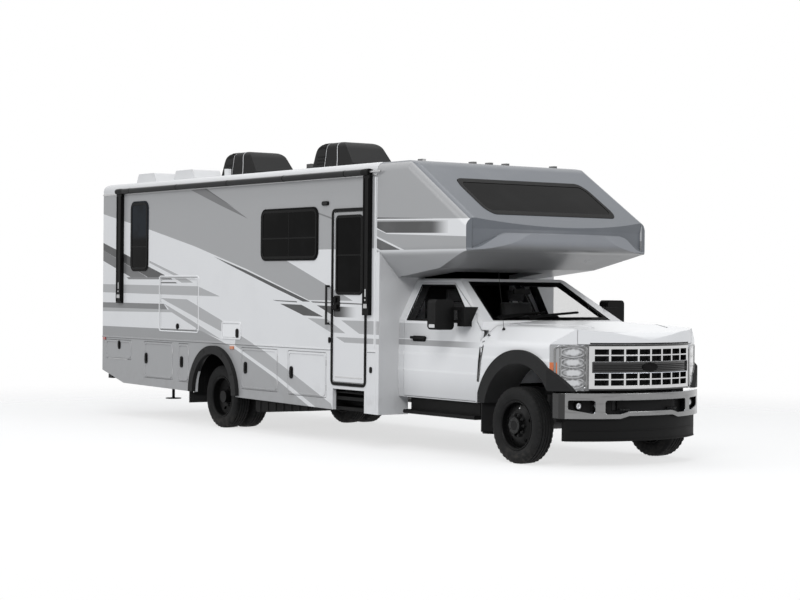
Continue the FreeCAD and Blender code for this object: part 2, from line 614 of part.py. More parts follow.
def make_frame():
    """Two open channels with crossmembers, spring towers, radiator support and bumper arms."""
    rear = TAIL + book.frame_tail_gap
    front = FRONT + book.frame_front_reach
    outer = book.rail_half_gap + book.rail_width
    brace_low = RAIL_TOP - book.rail_height / 3
    brace_top = RAIL_TOP - book.rail_flange / 2
    parts = []
    for side in (-1, 1):
        low, high = (book.rail_half_gap, outer) if side > 0 else (-outer, -book.rail_half_gap)
        rail = box((rear, low, book.rail_bottom), (front, high, RAIL_TOP))
        open_low, open_high = (low - book.overrun, high - book.rail_flange) if side > 0 else (
            low + book.rail_flange, high + book.overrun)
        hollow = box((rear - book.overrun, open_low, book.rail_bottom + book.rail_flange),
                     (front + book.overrun, open_high, RAIL_TOP - book.rail_flange))
        parts.append(cut(rail, hollow))
        tower = book.front_spring_half_track + book.spring_radius
        low, high = (outer, tower) if side > 0 else (-tower, -outer)
        parts.append(box((FRONT - book.spring_radius, low, brace_low),
                         (FRONT + book.spring_radius, high, brace_top)))
        low = book.rail_half_gap if side > 0 else -book.rail_half_gap - book.bumper_arm_width
        reach = plate_inside(book.bumper_plan_radius, book.bumper_thickness, FRONT + book.bumper_front,
                             book.rail_half_gap + book.bumper_arm_width) - book.seat
        parts.append(box((front, low, book.rail_bottom), (reach, low + book.bumper_arm_width, RAIL_TOP)))
    reach = outer - book.rail_flange
    for place in (rear, REAR - book.leaf_half_length - book.crossmember_length, REAR,
                  REAR + book.leaf_half_length, back(book.tank_start), CAB_REAR,
                  front - book.crossmember_length):
        parts.append(box((place, -reach, brace_low), (place + book.crossmember_length, reach, brace_top)))
    core_front = plate_inside(book.nose_plan_radius, book.grille_depth, FRONT + book.nose_front,
                              book.grille_half_width) - book.seat
    parts.append(box((core_front - book.core_thickness, -book.grille_half_width, book.core_bottom),
                     (core_front, book.grille_half_width, book.grille_top - book.grille_frame)))
    node("chassis_frame", fuse(*parts))


def make_powertrain():
    """Engine and gearbox as plain masses, with the exhaust along the gearbox."""
    top = book.engine_bottom + book.engine_height
    block = box((back(book.engine_rear), -book.engine_half_width, book.engine_bottom + book.rail_height),
                (FRONT + book.engine_front, book.engine_half_width, top))
    engine = common(block, nose_solid(book.nose_skin + book.running_gap))
    sump = box((back(book.engine_rear), -book.engine_half_width / 2, book.engine_bottom),
               (FRONT + book.engine_front / 2, book.engine_half_width / 2,
                book.engine_bottom + book.rail_height))
    box_end = back(book.engine_rear + book.gearbox_length)
    gearbox = drum("X", book.gearbox_radius, box_end, back(book.engine_rear), (0, book.gearbox_height))
    pipe = drum("X", book.exhaust_radius, back(book.exhaust_tail),
                back(book.engine_rear) - book.exhaust_place, (-book.exhaust_place, book.exhaust_height))
    muffler = drum("X", book.muffler_radius, back(book.muffler_start + book.muffler_length),
                   back(book.muffler_start), (-book.exhaust_place, book.exhaust_height))
    node("engine_and_exhaust", fuse(engine, sump, gearbox, pipe, muffler))


def make_tank():
    """Fuel tank hung outside the left rail."""
    low = book.rail_half_gap + book.rail_width
    bottom = book.rail_bottom - book.tank_gap * 2
    tank = pad("X", rectangle((low, bottom), (low + book.tank_width, bottom + book.tank_height),
                              book.panel_corner),
               back(book.tank_start + book.tank_length), back(book.tank_start))
    node("fuel_tank", tank)


def hatch_outline(names, inset):
    """Rounded outline of a door or window on a side wall, drawn in by an inset."""
    rear, front, low, high = [getattr(book, name) for name in names]
    return (back(rear) + inset, low + inset), (back(front) - inset, high - inset)


def side_opening(names, corner):
    """Tool that cuts a door or window through a side wall."""
    low, high = hatch_outline(names, as_size(0))
    return pad("Y", rectangle(low, high, corner), -SIDE - book.overrun, -SIDE + book.wall + book.overrun)


def side_panel(names):
    """Door leaf that fills an opening with a gap all round."""
    low, high = hatch_outline(names, book.panel_gap)
    return pad("Y", rectangle(low, high, book.panel_corner - book.panel_gap), -SIDE,
               -SIDE + book.wall - book.seat)


def window_pane(names):
    """Fixed window: pane in the opening with a flange on the wall's outer face."""
    low, high = hatch_outline(names, book.seat)
    flange_low, flange_high = hatch_outline(names, -book.window_flange)
    pane = pad("Y", rectangle(low, high, book.window_corner - book.seat), -SIDE,
               -SIDE + book.window_thickness)
    flange = pad("Y", rectangle(flange_low, flange_high, book.window_corner + book.window_flange),
                 -SIDE - book.window_proud, -SIDE)
    return fuse(pane, flange)


def entry_opening():
    """Tool that cuts the doorway through wall and skirt."""
    return box((back(book.entry_rear), -SIDE - book.overrun, book.entry_bottom),
               (back(book.entry_rear) + book.entry_width, -SIDE + book.wall + book.overrun, book.entry_top))


def upper_wall():
    """Plain side wall above the belt."""
    return box((TAIL, -SIDE, book.belt_height), (HOUSE_FRONT, -SIDE + book.wall, WALL_TOP))


def skirt():
    """Side skirt under the belt, with its wheel arch, before doors are cut."""
    outline = [(TAIL, book.skirt_tail_bottom), (back(book.skirt_kink), book.skirt_kink_bottom),
               (HOUSE_FRONT, book.skirt_front_bottom), (HOUSE_FRONT, book.belt_height),
               (TAIL, book.belt_height)]
    panel = pad("Y", outline, -SIDE, -SIDE + book.wall)
    arch = drum("Y", book.rear_arch_radius, -SIDE - book.overrun, -SIDE + book.wall + book.overrun,
                (REAR, book.rear_arch_height))
    return cut(panel, arch)


def grab_bar():
    """Handrail beside the door, standing off the wall on two posts."""
    place = back(book.grab_bar_place)
    out = -SIDE - book.grab_bar_reach
    rail = drum("Z", book.grab_bar_radius, book.grab_bar_bottom - book.grab_bar_radius,
                book.grab_bar_top + book.grab_bar_radius, (place, out))
    posts = [drum("Y", book.grab_bar_radius, out, -SIDE + book.overrun, (place, height))
             for height in (book.grab_bar_bottom, book.grab_bar_top)]
    return [rail] + posts


def make_side_walls():
    kitchen = side_opening(RIGHT_HATCHES["kitchen_locker"], book.panel_corner)
    windows = [side_opening(names, book.window_corner) for names in RIGHT_WINDOWS.values()]
    right = cut(upper_wall(), kitchen, entry_opening(), *windows)
    node("wall_right", fuse(right, *grab_bar()))
    left = cut(upper_wall(), *[side_opening(names, book.window_corner) for names in LEFT_WINDOWS.values()])
    node("wall_left", mirror(left))


def make_skirts():
    lockers = [side_opening(names, book.panel_corner) for name, names in RIGHT_HATCHES.items()
               if name != "kitchen_locker"]
    step_gap = box((back(book.entry_rear), -SIDE - book.overrun, 0),
                   (back(book.entry_rear) + book.entry_width, -SIDE + book.wall + book.overrun,
                    book.entry_bottom - book.entry_sill - book.entry_sill))
    node("skirt_right", cut(skirt(), entry_opening(), step_gap, *lockers))
    twins = [side_opening(RIGHT_HATCHES[name], book.panel_corner) for name in LEFT_HATCHES]
    node("skirt_left", mirror(cut(skirt(), *twins)))


def make_rear_wall():
    node("wall_rear", box((TAIL, -SIDE + book.wall, book.skirt_tail_bottom),
                          (TAIL + book.wall, SIDE - book.wall, ROOF_UNDER)))


def make_roof():
    """Roof slab with rounded lips over the side walls."""
    outline = [(-SIDE, WALL_TOP), (-SIDE, book.roof_height, book.roof_edge_radius),
               (SIDE, book.roof_height, book.roof_edge_radius), (SIDE, WALL_TOP),
               (SIDE - book.wall, WALL_TOP), (SIDE - book.wall, ROOF_UNDER),
               (-SIDE + book.wall, ROOF_UNDER), (-SIDE + book.wall, WALL_TOP)]
    node("roof", pad("X", outline, TAIL, HOUSE_FRONT))


def make_floor():
    """Floor slab on cross joists that stand on the frame rails."""
    inner = SIDE - book.wall
    slab = box((TAIL + book.wall, -inner, FLOOR_BOTTOM), (HOUSE_FRONT, inner, FLOOR_TOP))
    well = box((back(book.entry_rear), -inner - book.overrun, FLOOR_BOTTOM - book.overrun),
               (back(book.entry_rear) + book.entry_width, -inner + book.step_depth, FLOOR_TOP + book.overrun))
    joists = []
    reach = book.rail_half_gap + book.rail_width + book.rail_width
    for place in (TAIL + book.frame_tail_gap, back(book.locker_long_front), REAR - book.joist_margin,
                  back(book.locker_middle_front), back(book.entry_rear) - book.joist_margin,
                  HOUSE_FRONT - book.joist_width):
        joists.append(box((place, -reach, RAIL_TOP), (place + book.joist_width, reach, FLOOR_BOTTOM)))
    node("house_floor", fuse(cut(slab, well), *joists))


def bay(names, depth, top):
    """Open box behind a locker door, on the wall's inner face; its rim is the door's stop."""
    rear, front, low, high = [getattr(book, name) for name in names]
    outer = -SIDE + book.wall
    shell = box((back(rear), outer, low), (back(front), outer + depth, top))
    hollow = box((back(rear) + book.bay_sheet, outer - book.overrun, low + book.bay_sheet),
                 (back(front) - book.bay_sheet, outer + depth - book.bay_sheet, top - book.bay_sheet))
    return cut(shell, hollow)


def make_bays():
    """Baggage boxes hung from the floor, and the box of the outside kitchen on the wall."""
    boxes = []
    for name, names in RIGHT_HATCHES.items():
        if name == "kitchen_locker":
            boxes.append(bay(names, book.kitchen_depth, book.kitchen_high))
        else:
            boxes.append(bay(names, book.bay_depth, FLOOR_BOTTOM))
    node("baggage_boxes_right", group(*boxes))
    twins = [mirror(bay(RIGHT_HATCHES[name], book.bay_depth, FLOOR_BOTTOM)) for name in LEFT_HATCHES]
    node("baggage_boxes_left", group(*twins))


def make_hatches():
    """Locker doors of the right side, and two of the left."""
    for name, names in RIGHT_HATCHES.items():
        node(name + "_door_right", side_panel(names))
    for name in LEFT_HATCHES:
        node(name + "_door_left", mirror(side_panel(RIGHT_HATCHES[name])))


def make_entry_door():
    """Entry door leaf with its window."""
    gap = book.panel_gap
    rear = back(book.entry_rear)
    leaf = pad("Y", rectangle((rear + gap, book.entry_bottom + gap),
                              (rear + book.entry_width - gap, book.entry_top - gap), book.panel_corner),
               -SIDE, -SIDE + book.wall - book.seat)
    inset = book.entry_window_inset
    low = (rear + inset, book.entry_window_bottom)
    high = (rear + book.entry_width - inset, book.entry_window_top)
    hole = pad("Y", rectangle(low, high, book.window_corner), -SIDE - book.overrun,
               -SIDE + book.wall)
    pane_low = (low[0] + book.seat, low[1] + book.seat)
    pane_high = (high[0] - book.seat, high[1] - book.seat)
    pane = pad("Y", rectangle(pane_low, pane_high, book.window_corner - book.seat),
               -SIDE - book.window_proud / 2, -SIDE + book.window_thickness)
    node("entry_door", cut(leaf, hole))
    node("entry_door_glass", pane)


def make_entry_steps():
    """Step well under the doorway: cheeks, treads and the folded step."""
    rear = back(book.entry_rear)
    front = rear + book.entry_width
    inner = -SIDE + book.wall
    sheet_x = book.step_plate
    cheeks = [box((place, inner, book.step_fold_bottom),
                  (place + sheet_x, inner + book.step_depth, FLOOR_TOP))
              for place in (rear, front - sheet_x)]
    riser = box((rear, inner + book.step_depth - sheet_x, book.step_fold_top),
                (front, inner + book.step_depth, FLOOR_TOP))
    lower = box((rear, inner, book.step_fold_top),
                (front, inner + book.step_depth, book.step_fold_top + sheet_x))
    upper = box((rear, inner + book.step_tread_depth, book.step_fold_top),
                (front, inner + book.step_depth, book.step_upper_height))
    folded = box((rear + sheet_x, inner, book.step_fold_bottom),
                 (front - sheet_x, inner + book.step_tread_depth, book.step_fold_bottom + book.entry_sill))
    folded_top = box((rear + sheet_x, inner, book.step_fold_top - book.entry_sill - book.entry_sill),
                     (front - sheet_x, inner + book.step_tread_depth, book.step_fold_top - book.entry_sill))
    node("entry_steps", fuse(riser, lower, upper, folded, folded_top, *cheeks))


def cap_outer(inset):
    """Solid of the moulded cap, drawn in by an inset on every side but its back."""
    rear = HOUSE_FRONT
    nose = back(book.cap_nose_front) - inset
    side_outline = [
        (rear, book.cap_bottom + inset),
        (back(book.cap_chin_setback) - inset, book.cap_chin_height + inset),
        (back(book.cap_lip_setback) - inset, book.cap_lip_bottom + inset),
        (back(book.cap_nose_setback) - inset, book.cap_nose_bottom + inset, book.cap_chin_radius - inset),
        (nose, book.cap_nose_height - inset / 2, book.cap_nose_radius),
        (back(book.cap_ridge_setback) - inset, book.cap_ridge_height - inset),
        (back(book.cap_roof_setback) - inset, book.roof_height - inset, book.cap_brow_radius),
        (rear, book.roof_height - inset)]
    half = SIDE - inset
    front_outline = [
        (-half + book.cap_tuck, book.cap_bottom - book.overrun),
        (-half, book.cap_side_bottom, book.cap_cove_radius),
        (-half, book.roof_height - inset, book.cap_edge_radius - inset),
        (half, book.roof_height - inset, book.cap_edge_radius - inset),
        (half, book.cap_side_bottom, book.cap_cove_radius),
        (half - book.cap_tuck, book.cap_bottom - book.overrun)]
    plan_outline = [(rear, -half), (nose, -half, book.cap_corner_radius),
                    (nose, half, book.cap_corner_radius), (rear, half)]
    crown = drum("Z", book.cap_crown_radius, book.cap_bottom - book.overrun, book.roof_height,
                 (nose - book.cap_crown_radius, 0))
    return common(pad("Y", side_outline, -half, half), pad("X", front_outline, rear, nose),
                  pad("Z", plan_outline, book.cap_bottom - book.overrun, book.roof_height), crown,
                  rake_prism(inset))


def on_rake(body):
    """Lay a body on the raked face: its X runs down the slope from the ridge line, its Z out of it."""
    rise = book.roof_height - book.cap_ridge_height
    run = book.cap_roof_setback - book.cap_ridge_setback
    body.Placement = FreeCAD.Placement(FreeCAD.Vector(), FreeCAD.Rotation(FreeCAD.Vector(0, 1, 0), 1))
    body.setExpression("Placement.Rotation.Angle", "atan2(%s; %s)" % (rise.text, run.text))
    return bind(body, place_x=back(book.cap_ridge_setback), place_z=book.cap_ridge_height)


def rake_prism(inset):
    """Long prism down the rake whose upper corners round the raked face's side edges."""
    half = SIDE + book.seat - inset
    top = book.seat - inset
    corner = book.cap_edge_radius - inset
    reach = book.house_front
    return on_rake(pad("X", [(-half, -reach), (half, -reach), (half, top, corner), (-half, top, corner)],
                       -reach, reach))


def lip_recess():
    """Band cut into the front between ridge and lip; it is deepest along the lip and fades upward."""
    front = back(book.cap_nose_front)
    centre = front - book.cap_crown_radius
    low = book.cap_side_bottom - book.overrun
    full = book.cap_crown_radius - book.cap_recess
    fade = doc.addObject("Part::Cone", "Fade")
    bind(fade, Radius1=full, Radius2=book.cap_crown_radius, Height=book.cap_recess_fade, place_x=centre,
         place_z=book.cap_recess_top - book.cap_recess_fade)
    core = drum("Z", full, low, book.cap_recess_top - book.cap_recess_fade, (centre, 0))
    shell = cut(drum("Z", book.cap_crown_radius + book.overrun, low, book.cap_recess_top, (centre, 0)),
                fuse(core, fade))
    lip = [(-book.cap_lip_end_half_width, low), (book.cap_lip_end_half_width, low),
           (book.cap_lip_end_half_width, book.cap_lip_end),
           (book.cap_lip_half_width, book.cap_lip_height, book.cap_lip_radius),
           (-book.cap_lip_half_width, book.cap_lip_height, book.cap_lip_radius),
           (-book.cap_lip_end_half_width, book.cap_lip_end)]
    zone = box((back(book.cap_roof_setback), -book.cap_lip_end_half_width, book.cap_lip_end),
               (front + book.overrun, book.cap_lip_end_half_width, book.cap_recess_top))
    return cut(common(shell, zone), pad("X", lip, back(book.cap_roof_setback), front + book.overrun))


def nose_window_block(inset, depth_out, depth_in):
    """Rounded slab on the raked face above the ridge, for the window and its cut."""
    rise = book.roof_height - book.cap_ridge_height
    run = book.cap_roof_setback - book.cap_ridge_setback
    stretch = root(rise * rise + run * run) / run
    low = (book.cap_ridge_setback - book.nose_window_high) * stretch + inset
    high = (book.cap_ridge_setback - book.nose_window_low) * stretch - inset
    half = book.nose_window_half_width - inset
    return on_rake(pad("Z", rectangle((low, -half), (high, half), book.nose_window_corner - inset),
                       -depth_in, depth_out))


def cap_wall_plate():
    """Front wall beside and behind the cab, cut out over the frame rails."""
    front = HOUSE_FRONT + book.front_wall_thickness
    plate = box((HOUSE_FRONT, -SIDE, book.skirt_front_bottom), (front, SIDE, book.cap_side_bottom))
    rail_room = book.cab_half_width - book.cab_rocker
    rails = box((HOUSE_FRONT - book.overrun, -rail_room, book.skirt_front_bottom - book.overrun),
                (front + book.overrun, rail_room, RAIL_TOP + book.running_gap))
    return cut(plate, rails)


def make_cap():
    """One hollow moulding: over-cab cap and front wall, open to the house and to the cab."""
    inner = cap_outer(book.cap_wall)
    back_gap = box((HOUSE_FRONT - book.overrun, -SIDE + book.wall, book.cap_side_bottom),
                   (HOUSE_FRONT + book.cap_wall, SIDE - book.wall, ROOF_UNDER))
    way = box((HOUSE_FRONT - book.overrun, -book.passage_half_width, book.passage_bottom),
              (back(book.cab_roof_front) - book.passage_brow, book.passage_half_width,
               book.cap_side_bottom + book.overrun))
    hole = nose_window_block(as_size(0), book.cap_wall, book.cap_wall * 2)
    node("front_cap", cut(fuse(cap_outer(as_size(0)), cap_wall_plate()), inner, back_gap, way, hole,
                          lip_recess()))


def windscreen():
    """Windscreen pane in the face of the cab."""
    return common(cut(cab_solid(book.seat), cab_solid(book.screen_thickness)),
                  pad("X", screen_frame(book.seat), back(book.cab_roof_front) - book.cab_skin,
                      back(book.cab_screen_base)))


def make_fixed_glass():
    """Windscreen and the windows that don't open."""
    right = [window_pane(names) for names in RIGHT_WINDOWS.values()]
    left = [mirror(window_pane(names)) for names in LEFT_WINDOWS.values()]
    nose = nose_window_block(book.seat, as_size(0), book.nose_window_thickness)
    node("fixed_windows", group(windscreen(), nose, *right, *left))


def wheel_flare(place, height, radius, band, face, proud):
    """Lip round a wheel arch, standing proud of a side face, down to the arch's lower edge."""
    ring = drum("Y", radius + band, -face - proud, -face, (place, height))
    hole = drum("Y", radius - book.flare_thickness, -face - proud - book.overrun, -face + book.overrun,
                (place, height))
    low = box((place - radius * 2, -face - proud - book.overrun, -radius * 2),
              (place + radius * 2, -face + book.overrun, height))
    return cut(ring, hole, low)


def mudflap(place, outer, face, top, room):
    """Flap behind a wheel, hung from the foot of its arch lip and clear under the panel inside it."""
    front = place + book.mudflap_thickness
    hanger = box((place, -outer, book.mudflap_bottom), (front, -face - book.seat, top))
    flap = box((place, -outer, book.mudflap_bottom), (front, -book.mudflap_inner, top - room))
    return fuse(hanger, flap)


def arch_liner(place):
    """Liner over a front wheel, from the arch's lip in to the frame, open behind the head lamp."""
    radius = book.front_arch_radius - book.flare_thickness
    inner = -book.liner_inner
    ring = cut(drum("Y", radius + book.liner_thickness, -SIDE, inner, place),
               drum("Y", radius, -SIDE - book.overrun, inner + book.overrun, place))
    lamp = box((LAMP_REAR - book.running_gap, -SIDE, book.lamp_bottom - book.running_gap),
               (FRONT + book.front_overhang, as_size(0), book.roof_height))
    zone = box((back(book.door_cut_upper), -SIDE, book.fender_bottom), (FRONT + book.nose_front, inner,
                                                                         book.roof_height))
    return cut(common(ring, nose_solid(-book.front_flare_proud / 2), zone), lamp)


def make_flares():
    """Black lips round the four wheel arches, with the mudflaps and front liners hung from them."""
    rear = wheel_flare(REAR, book.rear_arch_height, book.rear_arch_radius, book.flare_band, SIDE,
                       book.flare_proud)
    place = (FRONT + book.front_arch_place, book.front_arch_height)
    reach = book.nose_half_width + book.front_flare_proud
    inner = -book.hood_half_width
    ring = cut(drum("Y", book.front_arch_radius + book.front_flare_band, -reach, inner, place),
               drum("Y", book.front_arch_radius - book.flare_thickness, -reach, inner, place))
    side = box((back(book.door_cut_upper) + book.running_gap * 2, -reach, book.fender_bottom),
               (FRONT + book.nose_front, -book.hood_half_width, book.roof_height))
    chin = box((FRONT, -reach, 0), (FRONT + book.front_overhang, as_size(0), book.fender_front_bottom))
    lip = common(ring, cut(nose_solid(-book.front_flare_proud), nose_solid(-book.seat)), side)
    rear = fuse(rear, mudflap(REAR - book.rear_arch_radius - book.flare_band / 2, SIDE + book.flare_proud,
                              SIDE, book.rear_arch_height, book.flap_skirt_room))
    flap_place = place[0] - book.front_arch_radius - book.running_gap * 2
    front = fuse(cut(fuse(lip, arch_liner(place)), chin),
                 mudflap(flap_place, reach, book.nose_half_width, book.fender_bottom, book.seat))
    node("wheel_flares", group(rear, mirror(rear), front, mirror(front)))


def make_awning():
    """Stowed awning: roller along the roof edge, carried by two folded arms on the wall."""
    out = -SIDE - book.awning_arm_thickness
    arm_top = book.roof_height - book.awning_arm_drop
    roller_height = book.roof_height - book.awning_roller_drop
    rear = back(book.awning_rear_arm)
    front = back(book.awning_front_arm)
    front_end = front + book.awning_front_arm_width
    rear_arm = box((rear, out, book.awning_rear_arm_bottom),
                   (rear + book.awning_arm_width, -SIDE, arm_top))
    front_arm = box((front, out, book.awning_front_arm_bottom), (front_end, -SIDE, arm_top))
    roller = drum("X", book.awning_roller_radius, rear, front_end,
                  (-SIDE - book.awning_roller_radius, roller_height))
    ends = [drum("X", book.awning_end_radius, place, place + book.awning_end,
                 (-SIDE - book.awning_roller_radius, roller_height))
            for place in (rear + book.awning_arm_width / 4, front + book.awning_end / 4)]
    trimmed = common(fuse(roller, *ends), box((rear - book.overrun, -SIDE - SIDE, 0),
                                              (front_end + book.overrun, -SIDE, book.roof_height)))
    node("awning", fuse(rear_arm, front_arm, trimmed))


def cooler(place):
    """Air conditioner: a shroud with a low nose and rounded ends."""
    top = book.roof_height + book.cooler_height
    rear = back(place) - book.cooler_length / 2
    front = back(place) + book.cooler_length / 2
    side = pad("Y", [(rear, book.roof_height), (front, book.roof_height),
                     (front, book.roof_height + book.cooler_base * 2, book.cooler_corner / 2),
                     (front - book.cooler_nose, top, book.cooler_corner * 3),
                     (rear + book.cooler_corner, top, book.cooler_corner * 2)],
               -book.cooler_half_width, book.cooler_half_width)
    half = book.cooler_half_width
    front_view = pad("X", [(-half, book.roof_height), (-half + book.cooler_base, top, book.cooler_corner),
                           (half - book.cooler_base, top, book.cooler_corner), (half, book.roof_height)],
                     rear, front)
    return common(side, front_view)


def make_roof_gear():
    """Air conditioners, and the smaller vents and covers."""
    node("roof_air_conditioners", group(cooler(book.cooler_rear_place), cooler(book.cooler_front_place)))
    top = book.roof_height
    vent = drum("Z", book.vent_radius, top, top + book.vent_height, (back(book.vent_place), book.vent_offset))
    lids = []
    for place in (book.hatch_rear_place, book.hatch_front_place):
        rear = back(place) - book.hatch_length / 2
        lids.append(pad("Y", [(rear, top), (rear + book.hatch_length, top),
                              (rear + book.hatch_length - book.hatch_height / 2, top + book.hatch_height,
                               book.panel_corner),
                              (rear + book.hatch_height / 2, top + book.hatch_height, book.panel_corner)],
                        -book.hatch_offset - book.hatch_half_width,
                        -book.hatch_offset + book.hatch_half_width))
    mast = drum("Z", book.antenna_radius, top, top + book.antenna_height,
                (back(book.antenna_place), -book.antenna_offset))
    node("roof_vents", group(vent, mast, *lids))


def make_lamps():
    """Clearance lamps on cap and rear wall, and the tail lamps."""
    lamps = []
    half = book.marker_width / 2
    rear = back(book.marker_setback)
    for side in (-book.marker_outer, -book.marker_inner, as_size(0), book.marker_inner, book.marker_outer):
        lamps.append(box((rear, side - half, book.roof_height),
                         (rear + book.marker_length, side + half, book.roof_height + book.marker_height)))
        high = ROOF_UNDER - book.rear_marker_drop
        lamps.append(box((TAIL - book.rear_marker_proud, side - book.rear_marker_width / 2, high),
                         (TAIL, side + book.rear_marker_width / 2, high + book.rear_marker_height)))
    out = SIDE - book.tail_lamp_inset
    for low in (-out, out - book.tail_lamp_width):
        high = (low + book.tail_lamp_width, book.tail_lamp_bottom + book.tail_lamp_height)
        lamps.append(pad("X", rectangle((low, book.tail_lamp_bottom), high, book.panel_corner),
                         TAIL - book.tail_lamp_proud, TAIL))
    node("body_lamps", group(*lamps))


def make_rear_bumper():
    """Rear bumper beam with its arms to the frame, and the hitch receiver tube."""
    rear = TAIL - book.rear_bumper_reach
    beam = box((rear, -book.rear_bumper_half_width, book.rear_bumper_bottom),
               (rear + book.rear_bumper_depth, book.rear_bumper_half_width,
                book.rear_bumper_bottom + book.rear_bumper_height))
    inner = book.rail_half_gap
    arms = [box((rear + book.rear_bumper_depth / 2, low, book.rear_bumper_bottom),
                (rear + book.bumper_arm_length, low + book.bumper_arm_width, book.rail_bottom))
            for low in (-inner - book.bumper_arm_width, inner)]
    outer = book.receiver_outer
    socket = book.receiver_inner
    middle = book.receiver_height
    cross = box((rear + book.rear_bumper_depth, -inner - book.bumper_arm_width, middle - outer),
                (rear + book.rear_bumper_depth + outer * 2, inner + book.bumper_arm_width,
                 book.rail_bottom))
    tube = box((rear, -outer, middle - outer), (rear + book.receiver_length, outer, middle + outer))
    hole = box((rear - book.overrun, -socket, middle - socket),
               (rear + book.receiver_length + book.overrun, socket, middle + socket))
    node("rear_bumper", cut(fuse(beam, tube, cross, *arms), hole))


def jack(place, side):
    """Levelling jack, drawn up, on a bracket under the frame rail."""
    y = book.jack_offset * side
    parts = [drum("Z", book.jack_radius, book.jack_cylinder_bottom, RAIL_TOP - book.rail_flange, (place, y)),
             drum("Z", book.jack_leg_radius, book.jack_foot_height, book.jack_cylinder_bottom, (place, y)),
             drum("Z", book.jack_foot_radius, book.jack_foot_height,
                  book.jack_foot_height + book.jack_foot_thickness, (place, y))]
    web = book.rail_half_gap + book.rail_width
    low, high = (web, y) if side > 0 else (y, -web)
    parts.append(box((place - book.jack_radius, low, book.rail_bottom),
                     (place + book.jack_radius, high, book.rail_bottom + book.jack_bracket)))
    return fuse(*parts)


def make_jacks():
    places = (back(book.jack_front_place), back(book.jack_rear_place))
    node("levelling_jacks", group(*[jack(place, side) for place in places for side in (-1, 1)]))


def cab_section(inset):
    """The cab's cross-section run along its whole length, drawn in by an inset."""
    top = book.cab_roof - inset
    half = [(book.cab_half_width - inset, book.cab_bottom),
            (book.cab_waist_half_width - inset, book.cab_waist_height),
            (book.cab_belt_half_width - inset, SILL_HEIGHT - book.cab_belt_drop),
            (book.cab_roof_half_width - inset, top, book.cab_roof_radius)]
    return pad("X", both_sides(half), CAB_REAR - book.overrun, back(book.cab_screen_base))


def cab_solid(inset):
    """Cab body as one form: side view crossed with its section, drawn in by an inset."""
    side = [(CAB_REAR, book.cab_bottom), (back(book.door_cut_lower) - inset, book.cab_bottom),
            (back(book.door_cut_lower) - inset, book.door_cut_lower_height),
            (back(book.door_cut_upper) - inset, book.door_cut_upper_height),
            (back(book.cab_screen_base) - inset, SCREEN_BASE_HEIGHT - inset / 2),
            (back(book.cab_roof_front) - inset / 2, book.cab_roof - inset, book.cab_roof_radius),
            (CAB_REAR, book.cab_roof - inset)]
    wide = book.cab_waist_half_width
    return common(pad("Y", side, -wide, wide), cab_section(inset))


def firewall_face(height):
    """Place along X of the cab front wall's inner face at a height."""
    rise = (height - book.door_cut_lower_height) / (book.door_cut_upper_height - book.door_cut_lower_height)
    return back(book.door_cut_lower) + (book.door_cut_lower - book.door_cut_upper) * rise - book.cab_skin


def door_outline(inset, front_inset):
    """Side view of a cab door; its hinge edge has an inset of its own."""
    lower = back(book.door_cut_lower) - front_inset
    upper = back(book.door_cut_upper) - front_inset
    return [(back(book.door_rear) + inset, book.door_bottom + inset),
            (lower, book.door_bottom + inset), (lower, book.door_cut_lower_height),
            (upper, book.door_cut_upper_height),
            (back(book.door_nose_setback) - inset, book.door_cut_upper_height + book.door_nose_rise - inset),
            (back(book.door_screen_setback) - inset, book.door_top - inset),
            (back(book.door_rear) + inset, book.door_top - inset)]


def door_window_outline(inset):
    """Side view of a cab door's window, drawn in by an even inset."""
    run = book.door_window_front_top - book.door_window_front
    rise = book.door_window_top - SILL_HEIGHT
    slope = root(run * run + rise * rise)
    return [(back(book.door_window_rear) + inset, SILL_HEIGHT + inset),
            (back(book.door_window_front) - inset * (slope + run) / rise, SILL_HEIGHT + inset),
            (back(book.door_window_front_top) - inset * (slope - run) / rise, book.door_window_top - inset),
            (back(book.door_window_rear) + inset, book.door_window_top - inset)]


def screen_frame(inset):
    """Front view of the windscreen opening, drawn in by an inset."""
    return [(-book.screen_base_half_width + inset, SCREEN_BOTTOM + inset),
            (book.screen_base_half_width - inset, SCREEN_BOTTOM + inset),
            (book.screen_top_half_width - inset, book.screen_top - inset),
            (-book.screen_top_half_width + inset, book.screen_top - inset)]


def make_cab():
    """Cab shell: floor, rockers, pillars, roof and cowl, open at the back."""
    wide = book.cab_waist_half_width + book.overrun
    room = common(cab_solid(book.cab_skin),
                  box((CAB_REAR - book.overrun, -wide, book.cab_floor_bottom + book.cab_floor_thickness),
                      (FRONT, wide, book.cab_roof)))
    rail_room = book.cab_half_width - book.cab_rocker
    under = box((CAB_REAR - book.overrun, -rail_room, 0), (FRONT, rail_room, book.cab_floor_bottom))
    ahead = -book.overrun
    doorway = cut(pad("Y", door_outline(as_size(0), ahead), -wide, wide), cab_section(book.door_skin))
    rebate = cut(pad("Y", door_outline(book.door_lap, ahead), -wide, wide),
                 cab_section(book.cab_skin + book.door_hinge_room))
    screen = pad("X", screen_frame(as_size(0)), back(book.cab_roof_front) - book.cab_skin,
                 back(book.cab_screen_base) + book.overrun)
    node("cab_shell", cut(cab_solid(as_size(0)), room, under, doorway, rebate, screen))


def cab_door_leaf():
    """Right cab door: outer skin that laps its opening, thicker inside it, window cut."""
    gap = book.running_gap
    right = box((CAB_REAR, -SIDE, 0), (FRONT, as_size(0), book.cab_roof))
    skin = common(cut(cab_solid(as_size(0)), cab_section(book.door_skin - book.seat)), right,
                  pad("Y", door_outline(gap, gap), -SIDE, SIDE))
    core = common(cut(cab_solid(as_size(0)), cab_section(book.cab_skin - gap)), right,
                  pad("Y", door_outline(gap + book.door_lap, gap + book.door_skin), -SIDE, SIDE))
    hole = pad("Y", door_window_outline(as_size(0)), -SIDE, as_size(0))
    return cut(fuse(skin, core), hole)


